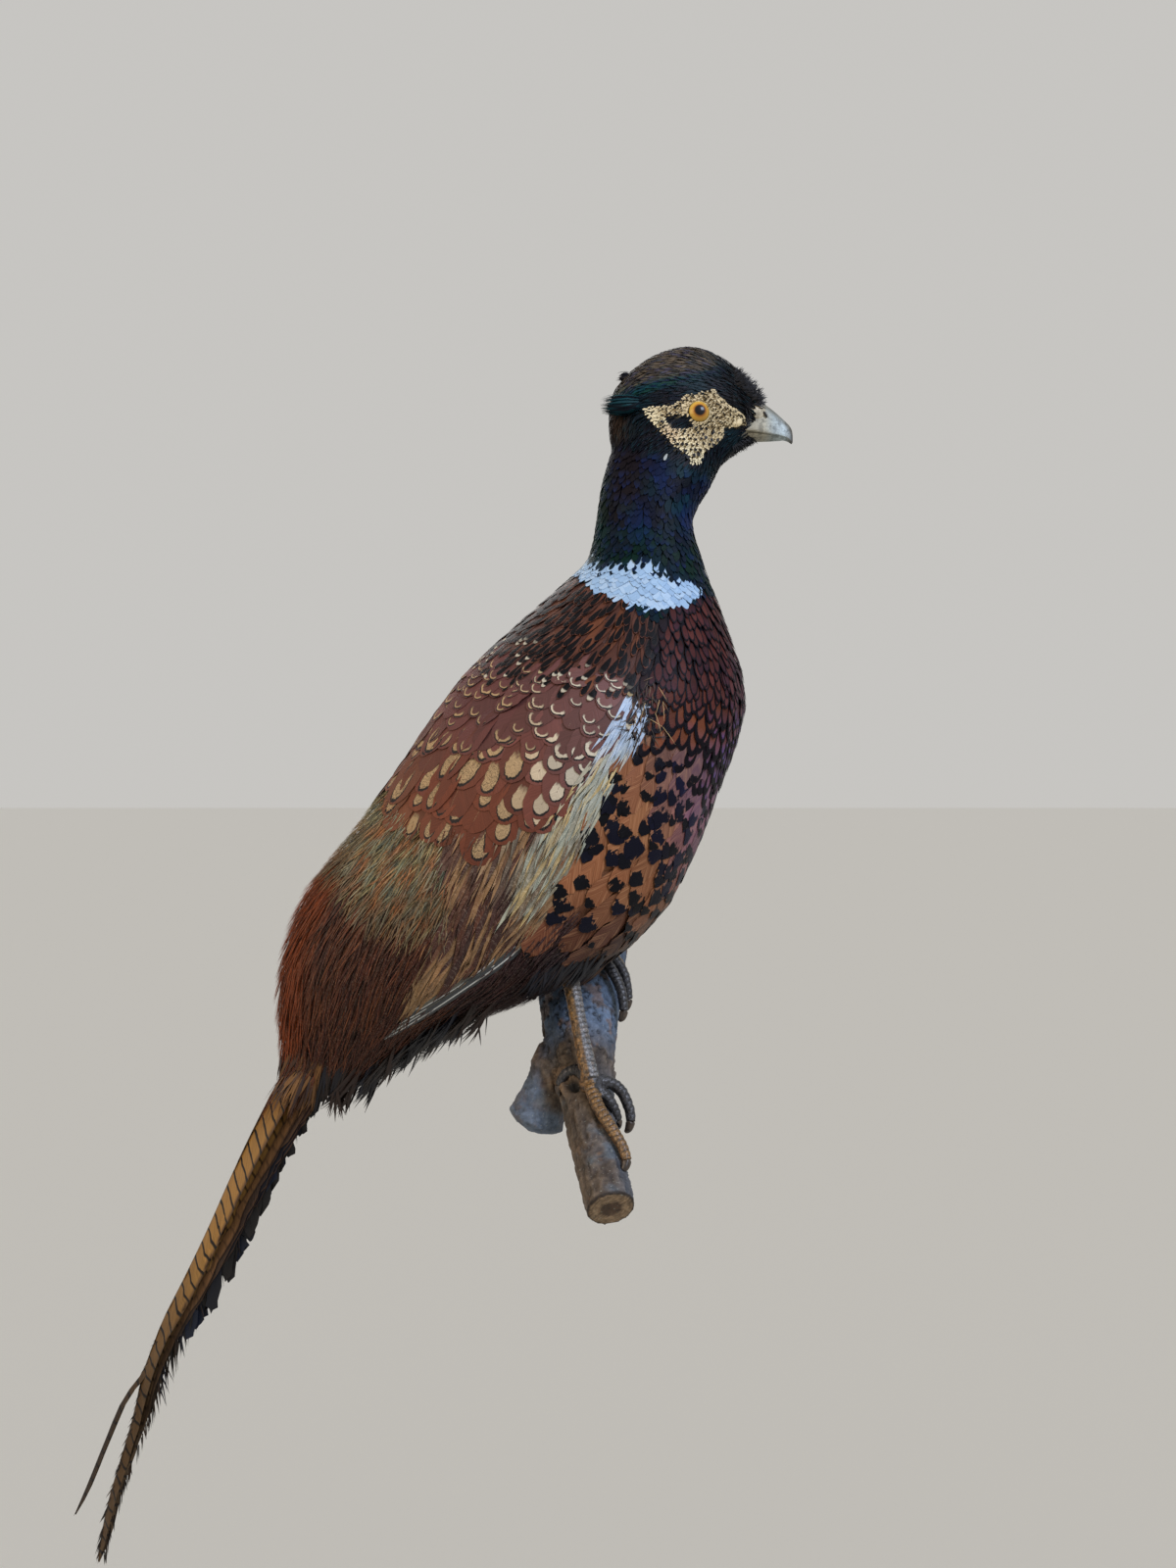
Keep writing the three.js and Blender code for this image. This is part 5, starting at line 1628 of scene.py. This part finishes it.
def claw_material():
    """Claw horn: dark brown keratin, smooth and a little glossy."""
    material, node = new_material("claw horn")
    place = node("TexCoord").outputs["Object"]
    grain = node("TexNoise", {"Vector": place, "Scale": 500.0, "Detail": 2.0})
    colour = node("ValToRGB", [grain], stops=[(0.3, "#1f1a17"), (0.7, "#4a3d31")])
    finish_material(node, {"Base Color": colour, "Roughness": 0.35})
    return material


def lumps(places, size_mm, seed, octaves=3):
    """Smooth fractal values, mostly from -1 to 1, at places; the biggest lumps are about this size."""
    offset = Vector((seed * 7.3, seed * 3.1, seed * 5.7))
    scaled = places / (size_mm * MM)
    return np.array([noise.fractal(Vector(point) + offset, 0.7, 2.1, octaves) for point in scaled])


def bark_material():
    """Seasoned branch wood: weathered grey where the bark is gone, painted blue for the cool light on it,
    dark flaking bark and a sawn end.
    """
    material, node = new_material("weathered branch")
    place = node("TexCoord").outputs["Object"]
    fine = node("TexNoise", {"Vector": place, "Scale": 420.0, "Detail": 4.0, "Roughness": 0.7})
    speck = node("TexNoise", {"Vector": place, "Scale": 900.0, "Detail": 2.0, "Roughness": 0.5})
    shade = node("ValToRGB", [fine], stops=[(0.3, 0.5), (0.7, 1.0)])
    colour = node("MixRGB", [1.0, ground(node), shade], blend_type="MULTIPLY")
    lichen = node("ValToRGB", [speck], stops=[(0.66, 0.0), (0.74, 0.6)])
    colour = node("MixRGB", [lichen, colour, rgba("#8a8f86")])
    bump = node("Bump", {"Height": fine, "Strength": 0.7, "Distance": 0.8 * MM})
    finish_material(node, {"Base Color": colour, "Roughness": 0.72, "Specular IOR Level": 0.35,
                           "Normal": bump})
    return material


# The branch's own middle line and its stub's: x, y, z and radius in mm.
STEM = [(0, 0, 0, 30), (-2, -50, -18, 27), (-5, -95, -45, 24), (-2.5, -124, -69, 18),
        (-0.6, -145, -84.5, 14.6), (4.4, -175, -103.5, 13.2), (11, -205, -123.6, 12)]
STUB = [(-6, -108, -52, 12), (-30, -125, -107, 16.5)]


def along_line(places, line):
    """For each place: how far along a line it lies in mm, its distance and its direction out from it."""
    line = np.array(line, float)[:, :3] * MM
    run = np.concatenate([[0], np.cumsum(np.linalg.norm(np.diff(line, axis=0), axis=1))])
    gap, far, out = np.full(len(places), 9.0), np.zeros(len(places)), np.zeros_like(places)
    for i in range(len(line) - 1):
        way = line[i + 1] - line[i]
        share = ((places - line[i]) @ way / (way @ way)).clip(0 if i else -1, 1 if i < len(line) - 2 else 2)
        off = places - line[i] - share[:, None] * way
        distance = np.linalg.norm(off, axis=1)
        closer = distance < gap
        gap[closer], far[closer] = distance[closer], (run[i] + share * np.linalg.norm(way))[closer]
        out[closer] = unit(off[closer])
    return far / MM, gap / MM, out


def build_branch():
    """The cut branch: a smooth weathered knob and stub, ridged bark, a knot and a sawn end."""
    branch = remeshed("branch_wood", ["branch"], 0, 1.15)
    places, normals = corner_array(branch.data), corner_normals(branch.data)
    far, gap, out = along_line(places, STEM)
    stub_far, stub_gap, _ = along_line(places, STUB)
    on_stub = ease(3, -3, stub_gap - gap + 6) * ease(8, 20, stub_far)
    turn = np.arctan2(out[:, 2], out[:, 0])
    end = far.max()
    grain = np.stack([np.cos(turn) * 16, far * 0.16, np.sin(turn) * 16], -1) * MM
    ridges = lumps(grain, 3.4, 1)
    broad = lumps(places, 26, 2)
    fine = lumps(places, 4.5, 3)
    # places along the branch and its stub, and heights of the bark, are in mm
    knob = ease(152, 128, far) * (1 - on_stub)
    collar = on_stub * ease(44, 26, stub_far)
    stub_way = unit(np.array(STUB[1][:3], float) - np.array(STUB[0][:3], float))
    cap = ease(54, 63, stub_far) * (stub_gap < 21)
    places = places + stub_way * (cap * (3.0 - 7.0 * (stub_gap / 17) ** 2))[:, None] * MM
    bark = (ease(-0.1, 0.25, broad + 0.45 * ease(0.2, -0.9, out[:, 0]) - 0.6 * knob)
            * (1 - 0.8 * ease(16, 34, stub_far) * on_stub))
    # sawn where the branch meets the wall: its last 1.6 mm, and what faces the wall within 30 mm of it
    at_wall = ease(-1.6, -0.6, places[:, 1] / MM)
    at_wall = np.maximum(at_wall, ease(0.72, 0.86, normals[:, 1]) * (places[:, 1] > -30 * MM))
    sawn = np.maximum(ease(end - 2.0, end - 0.9, far) * (1 - on_stub), at_wall)
    seen_x, seen_z = side_view(places)
    front = places[:, 1] < -130 * MM
    knot = ease(10.0, 5.0, np.hypot(seen_x + 14, seen_z + 83)) * front
    hollow = ease(4.0, 2.0, np.hypot((seen_x + 8.5) * 0.8, seen_z + 86.5)) * front
    crack = ease(0.11, 0.02, np.abs(lumps(places, 13, 8))) * (1 - sawn) * (1 - 0.7 * on_stub)
    crack = crack * (1 - 0.6 * ease(145, 170, far))
    calm = 1 - 0.5 * ease(145, 170, far) * (1 - on_stub)
    height = (bark * calm * (0.9 + 1.6 * ridges) + 0.55 * fine + knot * (1.0 + 2.4 * fine) - 1.1 * crack
              + collar * (0.9 + 2.4 * fine))
    height = (np.clip(height, -1.9, 2.4) - 3.0 * hollow) * (1 - sawn)
    shrunk = normals * 0.6 * MM * (1 - sawn)[:, None]
    set_corners(branch.data, places + normals * (height * MM)[:, None] - shrunk)
    # weathered grey wood where the bark is gone, painted blue for the cool light on it
    blue = mix("#3c4c60", "#6c7e94", 0.5 + 0.6 * broad.clip(-0.8, 0.8))
    brown = mix("#483b30", "#6e604e", 0.5 + 0.7 * fine.clip(-0.7, 0.7))
    wood = mix(blue, brown, ease(128, 160, far) * (1 - on_stub) * 0.8)
    wood = mix(wood, "#80592e", ease(0.2, 0.45, lumps(places, 11, 4)) * 0.5 * (1 - on_stub * 0.6))
    # blue-grey patches on the stem: weathered grey, painted blue for the cool light on it
    wood = mix(wood, "#5d6870", ease(0.1, 0.5, lumps(places, 15, 9)) * ease(150, 170, far) * 0.7)
    rind = mix("#3a3028", "#6a5c4d", 0.5 + 0.8 * ridges.clip(-0.6, 0.6))
    # painted light: the stem's right side is tinted slate blue for the cool light from the right
    slate = ease(0.1, 0.8, out[:, 0]) * ease(150, 175, far) * 0.45
    colour = mix(mix(wood, rind, bark * 0.92), "#4f5f70", slate)
    rough = mix("#3f3125", "#7a6248", 0.5 + 0.9 * fine.clip(-0.5, 0.5))
    colour = mix(colour, rough, np.maximum(knot, collar) * 0.8)
    # painted shade: the cracks and the knot's hollow are painted near-black, as the shade inside them
    colour = mix(colour, "#14110f", crack * 0.8)
    colour = mix(colour, "#0c0a09", hollow)
    colour = colour * (1 + 0.35 * fine)[:, None].clip(0.5, 1.4)
    rings = 0.5 + 0.5 * np.sin(gap * 2 * math.pi / 1.5 + 1.6 * fine)
    rim = np.where(far > 60, 11.2, 28.5)              # the radius of each cut face in mm, without its bark
    heart = ease(0.58, 0.36, (gap + fine) / rim)
    face = mix(mix("#9a8264", "#6d563c", rings), "#4c3826", heart)
    face = face * (1 + 0.4 * fine)[:, None].clip(0.5, 1.4)
    face = mix(face, "#2c231c", ease(rim - 1, rim, gap))
    painted(branch.data, mix(colour, face, sawn))
    smoothed(branch)
    settle(branch, bark_material(), "branch_wood", "branch")


def leg_material():
    """Leg scales: dry horny plates with dark gaps, in small round scales between the rows of scutes."""
    material, node = new_material("leg scales")
    place = node("TexCoord").outputs["Object"]
    cells = node("TexVoronoi", {"Vector": place, "Scale": 560.0, "Randomness": 0.7},
                 feature="DISTANCE_TO_EDGE")
    gap = node("ValToRGB", [cells], stops=[(0.03, 0.4), (0.14, 1.0)])
    tint = node("TexNoise", {"Vector": place, "Scale": 260.0, "Detail": 2.0})
    shade = node("ValToRGB", [tint], stops=[(0.35, 0.7), (0.65, 1.1)])
    colour = node("MixRGB", [1.0, ground(node), gap], blend_type="MULTIPLY")
    colour = node("MixRGB", [1.0, colour, shade], blend_type="MULTIPLY")
    bump = node("Bump", {"Height": gap, "Strength": 0.5, "Distance": 0.2 * MM})
    finish_material(node, {"Base Color": colour, "Roughness": 0.42, "Normal": bump})
    return material


# The plates in front, the scales behind, the light on both and the gaps between them.
FOOT_COLOURS = {"shank": ("#69737b", "#63472a", "#8a6531", "#1f1710"),
                "golden": ("#7e5e36", "#5c4127", "#7a5b34", "#1f1710"),
                "slate": ("#35363b", "#232226", "#3b3733", "#121012")}


def build_foot(label, scales):
    """A leg and its toes in one skin, with a row of scutes across each and small round scales behind."""
    nodes = [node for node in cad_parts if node.endswith("_" + label)
             and node.split("_")[0] in ("shank", "toe")]
    ankle = corner_array(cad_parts["shank_" + label].data)
    ankle = ankle[ankle[:, 2] < ankle[:, 2].min() + 3 * MM].mean(0) + np.array([1.5, -0.5, -1.0]) * MM
    deselect()
    bpy.ops.mesh.primitive_uv_sphere_add(segments=24, ring_count=16, radius=6.3 * MM, location=ankle)
    foot = remeshed("foot_skin_" + label, nodes, 0.35, 0.6, 6, bpy.context.object)
    places, normals = corner_array(foot.data), corner_normals(foot.data)
    corners = [corner_array(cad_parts[node].data) for node in nodes]
    tree = search_tree(np.concatenate(corners))
    belongs = np.repeat(np.arange(len(nodes)), [len(rows) for rows in corners])
    owner = belongs[[tree.find(point)[1] for point in places]]
    colour, height = np.zeros_like(places), np.zeros(len(places))
    small = lumps(places, 1.6, 6, 1)
    for index, node in enumerate(nodes):
        mine = owner == index
        leg, golden = node.startswith("shank"), node.startswith(("shank", "toe_outer"))
        middle = corners[index] - corners[index].mean(0)
        axis = np.linalg.svd(middle, full_matrices=False)[2][0]
        step = (places - corners[index].mean(0)) @ axis / (2.9 * MM) + 0.4 * lumps(places, 9, 5, 1)
        ridge = np.sqrt(np.abs(np.sin(math.pi * step)))
        facing = normals @ unit(np.array((1.0, -0.3, 0.1) if leg else (0.3, -0.6, 0.75)))
        upper = ease(0.05, 0.45, facing + 0.12 * small)
        plate, rest, light, gap = FOOT_COLOURS["shank" if leg else "golden" if golden else "slate"]
        scaly = mix(rest, light, 0.5 + 0.6 * lumps(places, 3, 7, 2).clip(-0.8, 0.8))
        scaly = mix(scaly, gap, ease(0.0, -0.35, small) * 0.75)
        plates = mix(plate, light, 0.25 + 0.3 * small.clip(-0.8, 0.8))
        plates = mix(plates, gap, ease(0.8, 0.4, ridge) * 0.8)
        colour[mine] = mix(scaly, plates, upper)[mine]
        height[mine] = (upper * (0.45 * ridge - 0.3) + (1 - upper) * 0.3 * small - 0.35)[mine]
    set_corners(foot.data, places + normals * (height * MM)[:, None])
    painted(foot.data, colour)
    smoothed(foot)
    settle(foot, scales, "leg_scale", *nodes)


def build_feet():
    """Feet and claws: golden shanks with pale front scutes, golden outer toes and dark slate inner ones."""
    scales, horn = leg_material(), claw_material()
    for label in ("near", "far"):
        build_foot(label, scales)
    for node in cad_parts:
        if node.startswith("claw"):
            claw = joined_copy(node + "_horn", [node], grow=0.7 * MM)
            use_modifier(claw, "SUBSURF", levels=2, render_levels=2)
            smoothed(claw)
            settle(claw, horn, "claw_horn", node)


# Upright sections of the bill: x, the lowest and highest z, and the half width, in mm.
UPPER_BILL = [(84.0, 272.2, 275.0, 8.8), (86.6, 271.9, 276.6, 9.2), (88.2, 271.7, 279.6, 9.3),
              (90.0, 271.5, 284.5, 9.2), (92.0, 271.2, 289.0, 8.9), (94.3, 270.9, 291.2, 8.3),
              (97.7, 270.6, 288.5, 7.5), (101, 270.4, 286.2, 6.6), (104.3, 270.3, 283.5, 5.6),
              (107, 270.1, 281.0, 4.5), (109.2, 269.7, 279.0, 3.6), (110.8, 268.8, 277.4, 2.8),
              (112.0, 267.6, 275.6, 2.0), (112.7, 267.0, 273.4, 1.0)]
LOWER_BILL = [(84.0, 269.4, 272.2, 7.0), (90.0, 269.2, 271.8, 7.0), (94.3, 269.1, 271.4, 6.6),
              (100.5, 269.1, 271.0, 5.2), (106.5, 269.3, 270.8, 3.4), (109.6, 269.7, 270.4, 1.8)]
# Half a section from the ridge down, as shares of the half width and of the height.
ARCH = [(0.0, 1.0), (0.24, 0.985), (0.5, 0.90), (0.74, 0.73), (0.9, 0.50), (0.985, 0.27), (1.0, 0.10),
        (0.93, 0.0), (0.55, 0.05)]


def loft(name, rings):
    """A closed piece through rings of places, capped at both ends."""
    rings = np.array(rings)
    quads, caps = tube_faces(*rings.shape[:2])
    mesh = bpy.data.meshes.new(name)
    mesh.from_pydata(rings.reshape(-1, 3), [], [(a, d, c, b) for a, b, c, d in quads] + caps)
    piece = put_in_scene(name, mesh)
    only(piece)
    bpy.ops.object.mode_set(mode="EDIT")
    bpy.ops.mesh.select_all(action="SELECT")
    bpy.ops.mesh.normals_make_consistent(inside=False)
    bpy.ops.object.mode_set(mode="OBJECT")
    use_modifier(piece, "SUBSURF", levels=2, render_levels=2)
    smoothed(piece)
    return piece


def build_bill():
    """Both halves of the bill, arched in section, with the nostril and its cover on each side."""
    horn, skin = horn_material(), bare_skin_material("nostril cover", "#837b66", "#b3aa92")
    section = ARCH + [(-across, up) for across, up in reversed(ARCH[1:])]
    for name, stations in (("bill_upper", UPPER_BILL), ("bill_lower", LOWER_BILL)):
        upper = name == "bill_upper"
        rings = []
        for x, low, high, half in stations:
            heights = [low + (high - low) * up if upper else high - (high - low) * up for _, up in section]
            rings.append([(x * MM, MID_Y + half * across * MM, z * MM)
                          for (across, _), z in zip(section, heights)])
        settle(loft(name + "_horn", rings), horn, "bill_horn", name)
    # painted shade: the nostril opening is a near-black piece, for the shade inside it
    dark, node = new_material("nostril")
    finish_material(node, {"Base Color": rgba("#0d0b0a"), "Roughness": 0.7})
    # name, place, radii and turn, in mm and radians
    covers = [("nostril_cover_", (93.2, 7.6, 283.0), (3.7, 1.0, 4.6), 0.35, skin),
              ("nostril_", (96.6, 7.7, 281.2), (0.65, 0.55, 2.0), -0.6, dark)]
    for side, label in SIDES:
        for name, (x, out, z), radii, turn, material in covers:
            middle = (x * MM, MID_Y + side * out * MM, z * MM)
            ellipsoid(name + label, radii, middle, (0, turn, side * -0.32), material, "bill_horn")


# ---- making the bird
build_studio()
coat_form = remeshed("coat_form", FLESH + ["tail", "eye_near", "eye_far"])
form = Form(coat_form)
bpy.data.objects.remove(coat_form)
build_skin(form)
build_coat(form)
tuft_material = plain_material("tuft feathers", 0.5, "#3a5a80", 0.0, depth=0.3, specular=0.1)
for side in ("near", "far"):
    build_tuft("ear_feathers_" + side, "ear_tuft_" + side, 220, ["#072a33", "#09343a", "#080c16", "#051821"],
               tuft_material, 41)
build_tuft("crown_feathers", "crown_tuft", 30, ["#1c1a20", "#2a2622", "#101018"], tuft_material, 43)
build_tail()
build_quills(form)
build_loose_ends(form)
build_branch()
build_feet()
build_bill()
build_eyes()
build_face(form)
